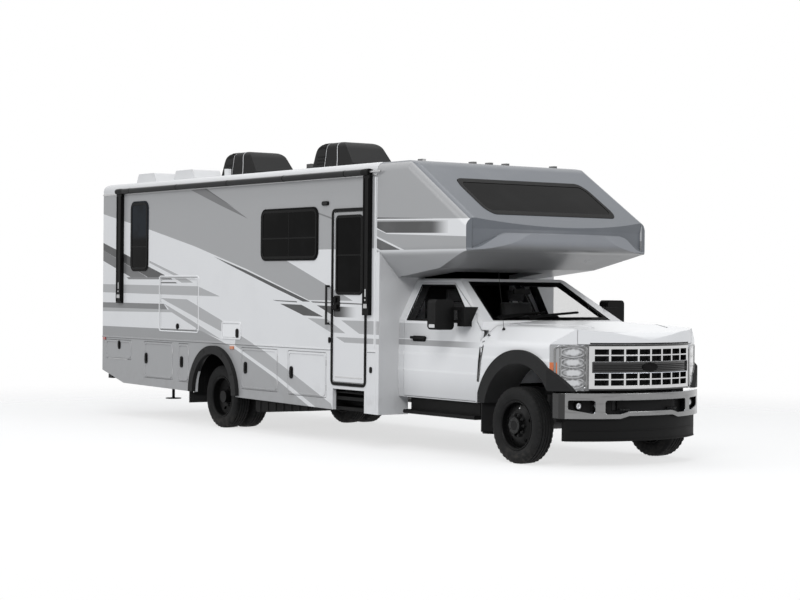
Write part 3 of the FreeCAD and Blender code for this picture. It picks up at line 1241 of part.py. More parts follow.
def cab_door_pane():
    """Glass of the right cab door."""
    right = box((CAB_REAR, -SIDE, 0), (FRONT, as_size(0), book.cab_roof))
    outer = book.running_gap
    shell = cut(cab_solid(outer), cab_section(outer + book.door_glass_thickness))
    return common(shell, right, pad("Y", door_window_outline(book.seat), -SIDE, SIDE))


def door_mirror():
    """Tow mirror of the right door: head, two arms and foot."""
    rear = back(book.mirror_rear)
    foot_front = back(book.mirror_mount_front)
    low = SILL_HEIGHT - book.mirror_drop
    arm_low = low + book.mirror_arm_lower_rise
    arm_high = low + book.mirror_arm_upper_rise
    head = pad("X", rectangle((-book.mirror_outer, low), (-book.mirror_inner, low + book.mirror_height),
                              book.mirror_corner), rear, rear + book.mirror_depth)
    arms = [box((rear + book.mirror_depth / 3, -book.mirror_inner - book.overrun, height),
                (foot_front - book.mirror_foot_length / 2, -book.mirror_inner + book.mirror_arm_depth,
                 height + book.mirror_arm_height))
            for height in (arm_low, arm_high)]
    foot = box((foot_front - book.mirror_foot_length, -book.mirror_inner,
                arm_low - book.mirror_arm_height),
               (foot_front, -book.cab_roof_half_width, arm_high + book.mirror_arm_height))
    return cut(fuse(head, foot, *arms), cab_section(-book.seat))


def make_cab_doors():
    """Cab doors with glass and mirrors."""
    for name, piece in (("cab_door", cab_door_leaf()), ("cab_door_glass", cab_door_pane()),
                        ("door_mirror", door_mirror())):
        node(name + "_right", piece)
        node(name + "_left", mirror(piece))


def nose_solid(inset):
    """Hood and fenders as one form, drawn in by an inset."""
    rear = back(book.hood_rear)
    front = FRONT + book.nose_front - inset
    side = [(back(book.door_cut_lower) + book.running_gap, book.fender_bottom - book.overrun),
            (front, book.fender_bottom - book.overrun),
            (front, book.hood_nose_height - inset, book.hood_corner_radius / 2),
            (FRONT + book.hood_lip - inset / 2, book.hood_lip_height - inset, book.hood_corner_radius),
            (FRONT + book.hood_mid, book.hood_mid_height + book.overrun - inset, book.hood_corner_radius),
            (rear + book.running_gap, SCREEN_BASE_HEIGHT + book.hood_rear_rise - inset),
            (back(book.door_cut_upper) + book.running_gap, book.door_cut_upper_height),
            (back(book.door_cut_lower) + book.running_gap, book.door_cut_lower_height)]
    half = [(book.nose_half_width - inset, book.fender_bottom - book.overrun),
            (book.nose_half_width - inset, book.nose_shoulder_height, book.hood_corner_radius),
            (book.nose_top_half_width - inset, book.nose_side_top - inset, book.hood_corner_radius),
            (as_size(0), book.hood_crown - inset)]
    outline = half + [(-point[0],) + point[1:] for point in reversed(half[:-1])]
    radius = book.nose_plan_radius - inset
    plan = drum("Z", radius, 0, book.roof_height, (FRONT + book.nose_front - book.nose_plan_radius, 0))
    rear_fill = box((back(book.door_cut_lower), -SIDE, 0), (FRONT, SIDE, book.roof_height))
    return common(pad("Y", side, -SIDE, SIDE),
                  pad("X", outline, rear - book.house_front, front), fuse(plan, rear_fill))


def make_hood():
    """Hood between the fender tops, from the screen to above the grille."""
    skin = cut(nose_solid(as_size(0)), nose_solid(book.nose_skin))
    half = book.hood_half_width - book.running_gap
    zone = box((back(book.hood_rear) + book.running_gap, -half, book.grille_top + book.seat),
               (FRONT + book.front_overhang, half, book.roof_height))
    node("hood", common(skin, zone))


def make_fenders():
    """Fenders with open arches, and the head lamps let into them."""
    skin = cut(nose_solid(as_size(0)), nose_solid(book.nose_skin))
    zone = box((back(book.door_cut_lower), -SIDE, book.fender_bottom),
               (FRONT + book.front_overhang, -book.hood_half_width, book.roof_height))
    arch = drum("Y", book.front_arch_radius, -SIDE, as_size(0),
                (FRONT + book.front_arch_place, book.front_arch_height))
    chin = box((FRONT + book.front_arch_place, -SIDE, 0),
               (FRONT + book.front_overhang, as_size(0), book.fender_front_bottom))
    lamp_inner = -book.grille_half_width - book.seat
    lamp_bay = box((LAMP_REAR, -SIDE, book.lamp_bottom - book.seat),
                   (FRONT + book.front_overhang, lamp_inner, book.lamp_top + book.seat))
    fender = cut(common(skin, zone), arch, chin, lamp_bay)
    node("front_fenders", group(fender, mirror(fender)))
    lamp_zone = box((LAMP_REAR + book.seat, -SIDE, book.lamp_bottom),
                    (FRONT + book.front_overhang, lamp_inner, book.lamp_top))
    lamp = common(cut(nose_solid(as_size(0)), nose_solid(book.nose_skin * 2)), lamp_zone)
    node("head_lamps", group(lamp, mirror(lamp)))


def curved_plate(radius, thickness, front, low, high, half_width):
    """Upright plate bent to a plan radius, its outermost line at front."""
    centre = front - radius
    outer = drum("Z", radius, low, high, (centre, 0))
    inner = drum("Z", radius - thickness, low - book.overrun, high + book.overrun, (centre, 0))
    zone = box((FRONT, -half_width, low), (front + book.overrun, half_width, high))
    return common(cut(outer, inner), zone)


def plate_inside(radius, thickness, front, side):
    """Place along X of a curved plate's inner face at a distance from the middle plane."""
    inner = radius - thickness
    return front - radius + root(inner * inner - side * side)


def make_grille():
    """Grille: frame, two slotted rows and the band between them."""
    plate = curved_plate(book.nose_plan_radius, book.grille_depth, FRONT + book.nose_front,
                         book.grille_bottom, book.grille_top, book.grille_half_width)
    frame = book.grille_frame
    low = book.grille_bottom + frame
    high = book.grille_top - frame
    row_height = (high - low - book.grille_band) / 2
    band = curved_plate(book.nose_plan_radius + book.overrun, book.grille_set_back + book.overrun,
                        FRONT + book.nose_front + book.overrun, low + row_height, high - row_height,
                        book.grille_half_width - frame / 2)
    slots = [band]
    count = GRILLE_SLOTS
    width = (book.grille_half_width - frame) * 2 / count
    for row_low in (low, high - row_height):
        for half_row in (row_low, row_low + row_height / 2):
            for number in range(count):
                start = -book.grille_half_width + frame + width * number
                slots.append(box((FRONT, start + book.grille_post / 2, half_row + book.grille_bar / 4),
                                 (FRONT + book.front_overhang, start + width - book.grille_post / 2,
                                  half_row + row_height / 2 - book.grille_bar / 4)))
    node("grille", cut(plate, *slots))


def bumper_intake():
    """Front view of the bumper's middle opening, deeper towards its ends."""
    low = book.bumper_slot_bottom
    end = book.bumper_slot_half_width
    return both_sides([(book.bumper_step_start, low + book.bumper_step), (book.bumper_step_end, low),
                       (end, low, book.bumper_corner), (end, book.bumper_slot_top, book.bumper_corner)])


def fog_opening():
    """Front view of the lamp opening in the bumper's left end, narrower outwards."""
    low = book.bumper_slot_bottom
    high = book.bumper_slot_top
    corner = book.bumper_corner
    return [(book.fog_inner, low, corner), (book.fog_outer, low + book.fog_rise, corner / 2),
            (book.fog_outer, high, corner / 2), (book.fog_inner, high, corner)]


def lip_step(room):
    """Front view of the raised middle of the bumper's lower edge, drawn in by a room."""
    low = book.bumper_bottom
    return both_sides([(book.bumper_step_end - room, low - book.overrun), (book.bumper_step_end - room, low),
                       (book.bumper_step_start - room, low + book.bumper_step - room)])


def bumper_insert():
    """Dark plate that closes the bumper's openings from behind, with room for the bumper's arms."""
    depth = book.bumper_thickness + book.seat
    front = FRONT + book.bumper_front - depth
    plate = curved_plate(book.bumper_plan_radius - depth, book.insert_thickness, front,
                         book.bumper_bottom - book.dam_lap, book.bumper_slot_top + book.dam_lap,
                         book.fog_outer + book.dam_lap)
    inner = book.rail_half_gap - book.running_gap
    outer = book.rail_half_gap + book.bumper_arm_width + book.running_gap
    rooms = [box((FRONT, low, book.rail_bottom - book.running_gap), (front + book.overrun, high, RAIL_TOP))
             for low, high in ((inner, outer), (-outer, -inner))]
    return cut(plate, *rooms)


def make_front_bumper():
    """Bumper with its lower intake and lamp openings, and the air dam under and behind it."""
    plate = curved_plate(book.bumper_plan_radius, book.bumper_thickness, FRONT + book.bumper_front,
                         book.bumper_bottom, book.bumper_top, book.bumper_half_width)
    reach = FRONT + book.bumper_front + book.overrun
    fog = pad("X", fog_opening(), FRONT, reach)
    node("front_bumper", cut(plate, pad("X", bumper_intake(), FRONT, reach), fog, mirror(fog),
                             pad("X", lip_step(as_size(0)), FRONT, reach)))
    front = FRONT + book.bumper_front - book.dam_setback
    top = book.bumper_bottom + book.bumper_step
    dam = curved_plate(book.bumper_plan_radius, book.dam_thickness, front, book.dam_bottom, top,
                       book.dam_half_width)
    above = box((FRONT, -book.dam_half_width - book.overrun, book.bumper_bottom),
                (reach, book.dam_half_width + book.overrun, top + book.overrun))
    node("air_dam", fuse(cut(dam, cut(above, pad("X", lip_step(book.seat), FRONT, reach))), bumper_insert()))


def make_running_boards():
    """Running boards, each with the dark panel that carries it from the cab's rocker."""
    rear = back(book.board_rear)
    front = back(book.board_front)
    low = book.board_top - book.board_thickness
    corner = book.board_edge_radius
    board = pad("X", [(-book.board_outer, low, corner), (-book.board_inner, low),
                      (-book.board_inner, book.board_top), (-book.board_outer, book.board_top, corner)],
                rear, front)
    face = -book.board_panel_face
    panel = box((rear + book.board_panel_setback, face, low + book.overrun),
                (front, face + book.board_panel_thickness, book.cab_bottom))
    right = fuse(board, panel)
    node("running_boards", group(right, mirror(right)))


def cab_seat():
    """Seat with its cushion, back and head rest as one form."""
    low = book.cab_floor_bottom + book.cab_floor_thickness
    front = back(book.seat_front)
    rear = front - book.seat_base_length
    top = low + book.seat_base_height
    outline = [(rear, low), (front, low), (front, top, book.seat_corner),
               (rear + book.seat_back_thickness, top),
               (rear + book.seat_back_thickness - book.seat_back_lean, top + book.seat_back_height,
                book.seat_corner),
               (rear - book.seat_back_lean, top + book.seat_back_height, book.seat_corner)]
    body = pad("Y", outline, book.seat_offset - book.seat_half_width,
               book.seat_offset + book.seat_half_width)
    rest_low = top + book.seat_back_height - book.overrun
    rest = box((rear - book.seat_back_lean + book.seat_corner / 2,
                book.seat_offset - book.head_rest_half_width, rest_low),
               (rear - book.seat_back_lean + book.seat_back_thickness - book.seat_corner / 2,
                book.seat_offset + book.head_rest_half_width, rest_low + book.head_rest_height))
    return fuse(body, rest)


def steering_ring():
    """Rim of the steering wheel, leaning back."""
    half = book.steering_rim
    ring = cut(drum("Z", book.steering_radius + half, -half, half, (as_size(0), as_size(0))),
               drum("Z", book.steering_radius - half, -half * 2, half * 2, (as_size(0), as_size(0))))
    ring.Placement = FreeCAD.Placement(FreeCAD.Vector(), FreeCAD.Rotation(FreeCAD.Vector(0, 1, 0), 1))
    ring.setExpression("Placement.Rotation.Angle", "0 - Sizes.steering_lean")
    return bind(ring, place_x=back(book.steering_setback), place_y=book.steering_offset,
                place_z=book.steering_height)


def make_cab_inside():
    """Seats, and the dashboard with the steering wheel."""
    seat = cab_seat()
    node("cab_seats", group(seat, mirror(seat)))
    rear = back(book.dash_rear)
    brow = book.dash_height - book.dash_brow
    outline = [(rear, book.dash_bottom), (firewall_face(book.dash_bottom) - book.seat, book.dash_bottom),
               (firewall_face(brow) - book.seat, brow), (rear + book.dash_brow, book.dash_height)]
    desk = common(pad("Y", outline, -book.dash_half_width, book.dash_half_width), cab_solid(book.cab_skin))
    wheel = steering_ring()
    column = drum("X", book.column_radius, back(book.steering_setback), rear + book.dash_brow,
                  (book.steering_offset, book.steering_height))
    hub = back(book.steering_setback)
    spoke = box((hub - book.column_radius, book.steering_offset - book.steering_radius,
                 book.steering_height - book.column_radius),
                (hub + book.column_radius, book.steering_offset + book.steering_radius,
                 book.steering_height + book.column_radius))
    node("dashboard", fuse(desk, wheel, column, spoke))


def make_parts():
    make_front_wheels()
    make_rear_wheels()
    make_knuckles()
    make_front_axle()
    make_rear_axle()
    make_frame()
    make_powertrain()
    make_tank()
    make_side_walls()
    make_skirts()
    make_rear_wall()
    make_roof()
    make_floor()
    make_bays()
    make_hatches()
    make_entry_door()
    make_entry_steps()
    make_cap()
    make_fixed_glass()
    make_flares()
    make_awning()
    make_roof_gear()
    make_lamps()
    make_rear_bumper()
    make_jacks()
    make_cab()
    make_cab_doors()
    make_hood()
    make_fenders()
    make_grille()
    make_front_bumper()
    make_running_boards()
    make_cab_inside()


def check_document():
    """Stop with a plain message where an object failed or a sub-part has no sound solid."""
    doc.recompute()
    failed = [item.Label for item in doc.Objects if {"Invalid", "Error"} & set(item.State)]
    if failed:
        raise SystemExit("failed objects: " + ", ".join(failed))
    for name, item in nodes.items():
        shape = item.Shape
        if shape.isNull() or not shape.isValid() or not shape.Solids:
            raise SystemExit("no sound solid in " + name)


def write_parts():
    os.makedirs("parts", exist_ok=True)
    for name, item in nodes.items():
        item.Shape.exportStep(os.path.join("parts", name + ".step"))


make_parts()
check_document()
write_parts()
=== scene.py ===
import json
import math

import bmesh
import bpy
from mathutils import Matrix, Vector
from mathutils.bvhtree import BVHTree


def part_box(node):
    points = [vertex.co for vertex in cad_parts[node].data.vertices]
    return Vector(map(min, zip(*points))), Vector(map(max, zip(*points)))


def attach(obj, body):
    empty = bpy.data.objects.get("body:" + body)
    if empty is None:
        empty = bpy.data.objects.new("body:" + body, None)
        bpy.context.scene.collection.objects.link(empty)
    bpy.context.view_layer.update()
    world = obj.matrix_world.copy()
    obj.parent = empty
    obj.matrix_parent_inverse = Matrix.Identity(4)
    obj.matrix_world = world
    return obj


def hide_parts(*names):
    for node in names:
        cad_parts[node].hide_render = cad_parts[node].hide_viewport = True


# Looks of a class C motorhome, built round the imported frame. Metres, +X forward, +Z up.
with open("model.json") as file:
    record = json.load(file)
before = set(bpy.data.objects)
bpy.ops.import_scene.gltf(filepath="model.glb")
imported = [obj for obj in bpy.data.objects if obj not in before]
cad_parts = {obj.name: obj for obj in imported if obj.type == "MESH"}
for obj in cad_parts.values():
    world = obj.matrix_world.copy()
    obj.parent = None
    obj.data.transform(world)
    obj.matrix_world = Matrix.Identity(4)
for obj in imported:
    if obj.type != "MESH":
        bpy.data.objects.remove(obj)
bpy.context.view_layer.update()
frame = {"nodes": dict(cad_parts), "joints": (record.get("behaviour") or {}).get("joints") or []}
nodes = frame["nodes"]
joints = {joint["name"]: joint for joint in frame["joints"]}

FRONT_AXLE, _, WHEEL_Z = joints["roll_front_right"]["pos_m"]
REAR_AXLE = joints["roll_rear_right"]["pos_m"][0]
SIDE = -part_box("wall_rear")[0][1] + 0.05
CAR = "vehicle"


def bx(x):
    """Place along X, given forward of the front axle."""
    return FRONT_AXLE + x


# materials
class Shade:
    """A material and short calls that add nodes to it."""

    def __init__(self, name):
        """Start with one plain surface and the places and normals of the object."""
        self.mat = bpy.data.materials.new(name)
        self.mat.use_nodes = True
        self.tree = self.mat.node_tree
        self.tree.nodes.clear()
        self.out = self.tree.nodes.new("ShaderNodeOutputMaterial")
        self.bsdf = self.tree.nodes.new("ShaderNodeBsdfPrincipled")
        self.tree.links.new(self.bsdf.outputs[0], self.out.inputs[0])
        coords = self.tree.nodes.new("ShaderNodeTexCoord")
        self.place = coords.outputs["Object"]
        self.x, self.y, self.z = self.split(self.place)
        self.nx, self.ny, self.nz = self.split(coords.outputs["Normal"])
        self.wide = self.size(self.y)

    def split(self, vector):
        """The three parts of a vector."""
        item = self.tree.nodes.new("ShaderNodeSeparateXYZ")
        self.tree.links.new(vector, item.inputs[0])
        return item.outputs[0], item.outputs[1], item.outputs[2]

    def put(self, socket, value):
        """Link a socket, or set its plain number or colour."""
        if isinstance(value, bpy.types.NodeSocket):
            self.tree.links.new(value, socket)
        elif isinstance(value, (tuple, list)):
            value = tuple(value)
            short = len(value) == 3 and len(socket.default_value) == 4
            socket.default_value = value + (1.0,) if short else value
        else:
            socket.default_value = value

    def node(self, kind, inputs=(), **props):
        """A node with its inputs and settings."""
        item = self.tree.nodes.new(kind)
        for name, value in props.items():
            setattr(item, name, value)
        for key, value in dict(inputs).items():
            self.put(item.inputs[key], value)
        return item

    def math(self, operation, a, b=0.0, c=0.0):
        return self.node("ShaderNodeMath", {0: a, 1: b, 2: c}, operation=operation).outputs[0]

    def mix(self, factor, a, b):
        """Colour a, covered by b where the factor is 1."""
        item = self.node("ShaderNodeMix", data_type="RGBA")
        self.put(item.inputs[0], factor)
        self.put(item.inputs[6], a)
        self.put(item.inputs[7], b)
        return item.outputs[2]

    def blend(self, factor, a, b):
        """Number between a and b."""
        return self.math("MULTIPLY_ADD", factor, self.math("SUBTRACT", b, a), a)

    def ramp(self, value, low, high):
        """0 at low, 1 at high, smooth between."""
        item = self.node("ShaderNodeMapRange", {0: value, 1: low, 2: high, 3: 0.0, 4: 1.0},
                         interpolation_type="SMOOTHSTEP")
        return item.outputs[0]

    def above(self, value, limit):
        return self.math("GREATER_THAN", value, limit)

    def under(self, value, limit):
        return self.math("LESS_THAN", value, limit)

    def both(self, *masks):
        """1 where all the masks are 1."""
        out = masks[0]
        for mask in masks[1:]:
            out = self.math("MULTIPLY", out, mask)
        return out

    def any(self, *masks):
        """1 where one of the masks is 1."""
        out = masks[0]
        for mask in masks[1:]:
            out = self.math("MAXIMUM", out, mask)
        return out

    def off(self, mask):
        return self.math("SUBTRACT", 1.0, mask)

    def between(self, value, low, high):
        return self.both(self.above(value, low), self.under(value, high))

    def inward(self):
        """1 on faces that look towards the middle plane or straight down."""
        return self.any(self.under(self.math("MULTIPLY", self.y, self.ny), -0.15), self.under(self.nz, -0.5))

    def some(self, mask, share):
        """A mask at part of its strength."""
        return self.math("MULTIPLY", mask, share)

    def size(self, value):
        return self.math("ABSOLUTE", value)

    def stretched(self, scale):
        return self.node("ShaderNodeMapping", {"Vector": self.place, "Scale": scale}).outputs[0]

    def ribs(self, scale):
        """Even waves up and down."""
        inputs = {"Vector": self.place, "Scale": scale}
        return self.node("ShaderNodeTexWave", inputs, bands_direction="Z").outputs["Fac"]

    def noise(self, scale, detail=3.0, rough=0.5, where=None):
        inputs = {"Vector": where or self.place, "Scale": scale, "Detail": detail, "Roughness": rough}
        return self.node("ShaderNodeTexNoise", inputs).outputs["Fac"]

    def cells(self, scale):
        inputs = {"Vector": self.place, "Scale": scale}
        return self.node("ShaderNodeTexVoronoi", inputs).outputs["Distance"]

    def bump(self, height, strength, distance, before=None):
        inputs = {"Height": height, "Strength": strength, "Distance": distance}
        if before is not None:
            inputs["Normal"] = before
        return self.node("ShaderNodeBump", inputs).outputs[0]

    def peel(self, strength, before):
        """The fine waves of sprayed paint."""
        return self.bump(self.noise(450.0, 1.0), strength, 0.0004, before)

    def soft_edge(self, radius=0.006):
        """Normal that rounds sharp edges by a small radius."""
        return self.node("ShaderNodeBevel", {"Radius": radius}, samples=4).outputs[0]

    def set(self, **values):
        """Fill the surface's inputs and give the material back."""
        names = {"color": "Base Color", "rough": "Roughness", "metal": "Metallic", "normal": "Normal",
                 "coat": "Coat Weight", "coat_rough": "Coat Roughness", "alpha": "Alpha",
                 "sheen": "Sheen Weight", "specular": "Specular IOR Level"}
        for name, value in values.items():
            self.put(self.bsdf.inputs[names[name]], value)
        return self.mat


def grey(value):
    return (value, value * 1.004, value * 1.012)


def darker(tint, share):
    return tuple(value * share for value in tint)


def distances(s, points, x):
    """How far a point of the side lies from each line between neighbouring (x, z) points."""
    plane = s.node("ShaderNodeCombineXYZ", {0: x, 1: s.z, 2: 1.0}).outputs[0]
    found = []
    for a, b in zip(points, points[1:]):
        nx, nz = a[1] - b[1], b[0] - a[0]
        length = math.hypot(nx, nz)
        nx, nz = nx / length, nz / length
        inputs = {0: plane, 1: (nx, nz, -(nx * a[0] + nz * a[1]))}
        found.append(s.node("ShaderNodeVectorMath", inputs, operation="DOT_PRODUCT").outputs["Value"])
    return found


def field(s, points, x):
    """1 inside a convex field of (x, z) points, else 0."""
    closed = points + points[:1]
    if sum(a[0] * b[1] - b[0] * a[1] for a, b in zip(points, closed[1:])) < 0:
        closed = points[::-1] + points[-1:]
    return s.both(*[s.above(distance, 0.0) for distance in distances(s, closed, x)])


def beyond_line(s, points, x):
    """1 above the broken line through the (x, z) points, else 0."""
    return s.off(s.both(*[s.under(distance, 0.0) for distance in distances(s, points, x)]))


WHITE = grey(0.74)
LIGHT = grey(0.36)
MID = grey(0.20)
DARK = grey(0.070)
BAND = grey(0.42)
BLACK = grey(0.012)
# the side paint: colours and convex fields of (x from the front axle, z), later ones on top
FIELDS = [
    (LIGHT, [(-9.4, 1.257), (-6.33, 1.257), (-5.44, 1.05), (-4.405, 0.693), (-3.55, 0.36), (-3.55, 0.2),
             (-9.4, 0.2)]),
    (grey(0.31), [(-9.4, 1.257), (-6.33, 1.257), (-5.77, 1.122), (-9.4, 1.122)]),
    (BAND, [(-7.36, 1.599), (-6.39, 1.329), (-5.75, 1.142), (-6.365, 1.258), (-7.13, 1.482)]),
    (BAND, [(-7.451, 1.671), (-6.711, 1.66), (-5.802, 1.404), (-5.43, 1.255), (-5.43, 1.09),
            (-7.387, 1.655)]),
    (BAND, [(-5.43, 1.255), (-4.726, 1.041), (-4.406, 0.918), (-4.406, 0.737), (-5.43, 1.07)]),
    (BAND, [(-4.406, 0.918), (-3.98, 0.762), (-3.19, 0.465), (-3.1, 0.3), (-3.2, 0.28), (-4.406, 0.737)]),
    (WHITE, [(-7.44, 1.667), (-7.36, 1.652), (-5.43, 1.088), (-5.43, 1.045), (-7.40, 1.622)]),
    (WHITE, [(-5.46, 1.092), (-4.39, 0.742), (-4.39, 0.692), (-5.46, 1.048)]),
    (WHITE, [(-4.42, 0.752), (-3.40, 0.36), (-3.53, 0.36), (-4.42, 0.700)]),
    (BAND, [(-9.4, 1.857), (-6.422, 1.836), (-5.83, 1.706), (-9.4, 1.741)]),
    (MID, [(-9.4, 1.596), (-7.36, 1.594), (-7.257, 1.519), (-9.4, 1.521)]),
    (BAND, [(-9.4, 1.521), (-7.21, 1.519), (-7.12, 1.482), (-9.4, 1.466)]),
    (grey(0.16), [(-9.4, 2.40), (-7.95, 1.985), (-7.86, 1.955), (-8.34, 1.955), (-9.4, 2.245)]),
    (DARK, [(-9.4, 2.496), (-8.469, 2.265), (-7.367, 1.99), (-7.28, 1.955), (-7.833, 1.955), (-9.4, 2.40)]),
    (MID, [(-8.47, 1.955), (-7.52, 1.955), (-7.42, 1.925), (-8.40, 1.925)]),
    (DARK, [(-7.44, 1.942), (-7.16, 1.942), (-7.11, 1.925), (-7.44, 1.925)]),
    (DARK, [(-7.44, 1.888), (-7.03, 1.888), (-6.98, 1.872), (-7.44, 1.872)]),
    (BAND, [(-7.784, 2.182), (-6.938, 1.983), (-7.088, 1.980), (-7.784, 2.152)]),
    (BAND, [(-7.075, 1.947), (-6.765, 1.948), (-6.544, 1.883), (-6.862, 1.882)]),
    (DARK, [(-6.0, 2.224), (-5.167, 2.038), (-3.66, 1.662), (-3.86, 1.662), (-4.423, 1.808),
            (-5.217, 2.003)]),
    (grey(0.17), [(-6.62, 3.25), (-6.05, 3.06), (-5.443, 2.815), (-4.975, 2.632), (-5.853, 2.886),
                  (-6.9, 3.17)]),
    (grey(0.10), [(-6.4, 3.18), (-5.461, 2.835), (-5.80, 2.95), (-6.42, 3.165)]),
    (grey(0.19), [(-4.178, 2.862), (-3.508, 2.729), (-3.184, 2.656), (-3.184, 2.618), (-3.50, 2.708)]),
    (grey(0.12), [(-4.53, 1.675), (-3.96, 1.665), (-3.96, 1.650), (-4.43, 1.662)]),
    (grey(0.12), [(-3.649, 1.669), (-2.50, 1.652), (-2.50, 1.638), (-3.60, 1.652)]),
    (DARK, [(-4.348, 1.630), (-3.855, 1.623), (-3.376, 1.487), (-3.807, 1.495)]),
    (BAND, [(-3.714, 1.466), (-3.287, 1.461), (-2.891, 1.302), (-3.207, 1.306)]),
    (BAND, [(-2.979, 1.452), (-1.9, 1.455), (-1.9, 1.297), (-2.60, 1.303)]),
    (BAND, [(-3.096, 1.255), (-1.9, 1.254), (-1.9, 1.190), (-2.91, 1.194)]),
]
# what lies above these lines and above the foot, but for the white field, is the light field at the top
TOP_FOOT = 1.682
WHITE_FIELD = [(-4.605, 2.285), (-2.0, 2.285), (-2.0, 1.444), (-2.747, 1.685)]
FADING_DART = [(-3.513, 1.621), (-2.45, 1.603), (-2.45, 1.487), (-3.11, 1.488)]
TOP_EDGE = [(-9.4, 2.893), (-7.792, 2.610), (-6.528, 2.366), (-5.167, 2.060), (-3.672, 1.676)]
# the cap starts here along X from the front axle, and its side ends here below
CAP_START = -2.262
CAP_FLOOR = 2.262
CAP_BAND = [(-2.29, 2.592), (-0.9, 2.560), (-0.9, 2.435), (-2.075, 2.458), (-2.29, 2.525)]
CAP_LINE = [(-2.29, 2.604), (-0.9, 2.572), (-0.9, 2.562), (-2.29, 2.586)]
CAP_FIELDS = [
    (grey(0.05), [(-2.281, 2.637), (-1.172, 2.600), (-1.172, 2.594), (-2.281, 2.622)]),
    (WHITE, [(-2.29, 2.622), (-0.507, 2.584), (-0.507, 2.392), (-2.06, 2.445), (-2.29, 2.512)]),
    (WHITE, [(-2.29, 2.432), (-1.72, 2.262), (-2.29, 2.262)]),
    (grey(0.10), [(-2.29, 2.409), (-1.80, 2.264), (-2.19, 2.264), (-2.29, 2.300)]),
]
# tint, foot and head of each band across the rear wall
REAR_BANDS = [(LIGHT, 2.86, 3.3), (DARK, 2.33, 2.45), (grey(0.16), 2.19, 2.33), (BAND, 1.741, 1.857),
              (MID, 1.521, 1.596), (BAND, 1.466, 1.521), (LIGHT, 0.2, 1.257)]


def house_side_color(s, x):
    """White side with its grey fields, bands and darts."""
    top = s.both(beyond_line(s, TOP_EDGE, x), s.above(s.z, TOP_FOOT))
    color = s.mix(s.both(top, s.off(field(s, WHITE_FIELD, x))), WHITE, LIGHT)
    for tint, points in FIELDS:
        color = s.mix(field(s, points, x), color, tint)
    return s.mix(s.both(field(s, FADING_DART, x), s.ramp(x, -2.62, -3.05)), color, DARK)


def cap_side_color(s, x):
    """Side of the moulded cap over the cab, with its fading band."""
    color = LIGHT
    for tint, points in CAP_FIELDS:
        color = s.mix(field(s, points, x), color, tint)
    color = s.mix(s.both(field(s, CAP_BAND, x), s.ramp(x, -0.83, -1.22)), color, DARK)
    return s.mix(s.both(field(s, CAP_LINE, x), s.ramp(x, -0.75, -1.3)), color, grey(0.28))


def cap_front_color(s):
    """Blue-grey rake of the cap, the paler wing below its window, and painted shade on the underside."""
    wing_middle, wing_drop = 2.442, -0.17
    color = s.mix(s.ramp(s.z, 2.20, 2.27), grey(0.60), (0.140, 0.150, 0.165))
    wing = s.math("MULTIPLY_ADD", s.ramp(s.wide, 0.80, 1.20), wing_drop, wing_middle)
    color = s.mix(s.both(s.under(s.z, wing), s.above(s.z, CAP_FLOOR)), color, (0.27, 0.28, 0.30))
    # painted shade on faces that turn downwards
    return s.mix(s.both(s.ramp(s.nz, -0.45, -0.85), s.above(s.z, 1.90)), color, grey(0.24))


def rear_bands(s):
    """Level bands across the rear wall, at the heights where the side bands end."""
    color = WHITE
    for tint, low, high in REAR_BANDS:
        color = s.mix(s.between(s.z, low, high), color, tint)
    return color


def weathered(s, color, dirt):
    """A little cloudy dirt, and dust on what is low."""
    color = s.mix(s.some(s.ramp(dirt, 0.45, 0.75), 0.07), color, grey(0.40))
    dust = s.both(s.ramp(s.z, 0.85, 0.45), s.ramp(s.noise(9.0, 5.0), 0.42, 0.7))
    return s.mix(s.some(dust, 0.12), color, (0.20, 0.18, 0.16))


def livery():
    """Paint of the house, the same on both sides, with a black grab bar, painted shade on the cap's downward
    faces and near-black painted shade on faces that look inward or down.
    """
    s = Shade("house_paint")
    x = s.math("SUBTRACT", s.x, FRONT_AXLE)
    ahead = s.above(x, CAP_START)
    high = s.above(s.z, CAP_FLOOR)
    inside_from, band_foot, band_top = -2.27, 1.190, 1.455
    color = s.mix(s.both(ahead, high), house_side_color(s, x), cap_side_color(s, x))
    bare = s.both(ahead, s.off(high), s.off(s.between(s.z, band_foot, band_top)))
    color = s.mix(bare, color, WHITE)
    # painted shade: faces of the cap that turn downwards are greyer
    color = s.mix(s.both(ahead, s.ramp(s.nz, -0.2, -0.6)), color, grey(0.42))
    plain = s.mix(ahead, WHITE, cap_front_color(s))
    plain = s.mix(s.under(s.nx, -0.6), plain, rear_bands(s))
    color = s.mix(s.above(s.size(s.ny), 0.6), plain, color)
    # painted shade: faces that look towards the middle or down are near black
    color = s.mix(s.both(s.inward(), s.under(x, inside_from)), color, grey(0.03))
    grab = s.both(s.above(s.wide, SIDE + 0.012), s.between(x, -3.28, -3.16), s.between(s.z, 1.37, 1.89))
    color = s.mix(grab, color, BLACK)
    dirt = s.noise(1.7, 6.0, 0.6)
    waves = s.bump(s.noise(1.3, 2.0), 0.3, 0.006, s.soft_edge(0.008))
    return s.set(color=weathered(s, color, dirt), rough=s.blend(dirt, 0.24, 0.36), specular=0.22, coat=0.04,
                 coat_rough=0.08, normal=s.bump(s.noise(420.0, 1.0), 0.05, 0.0004, waves))


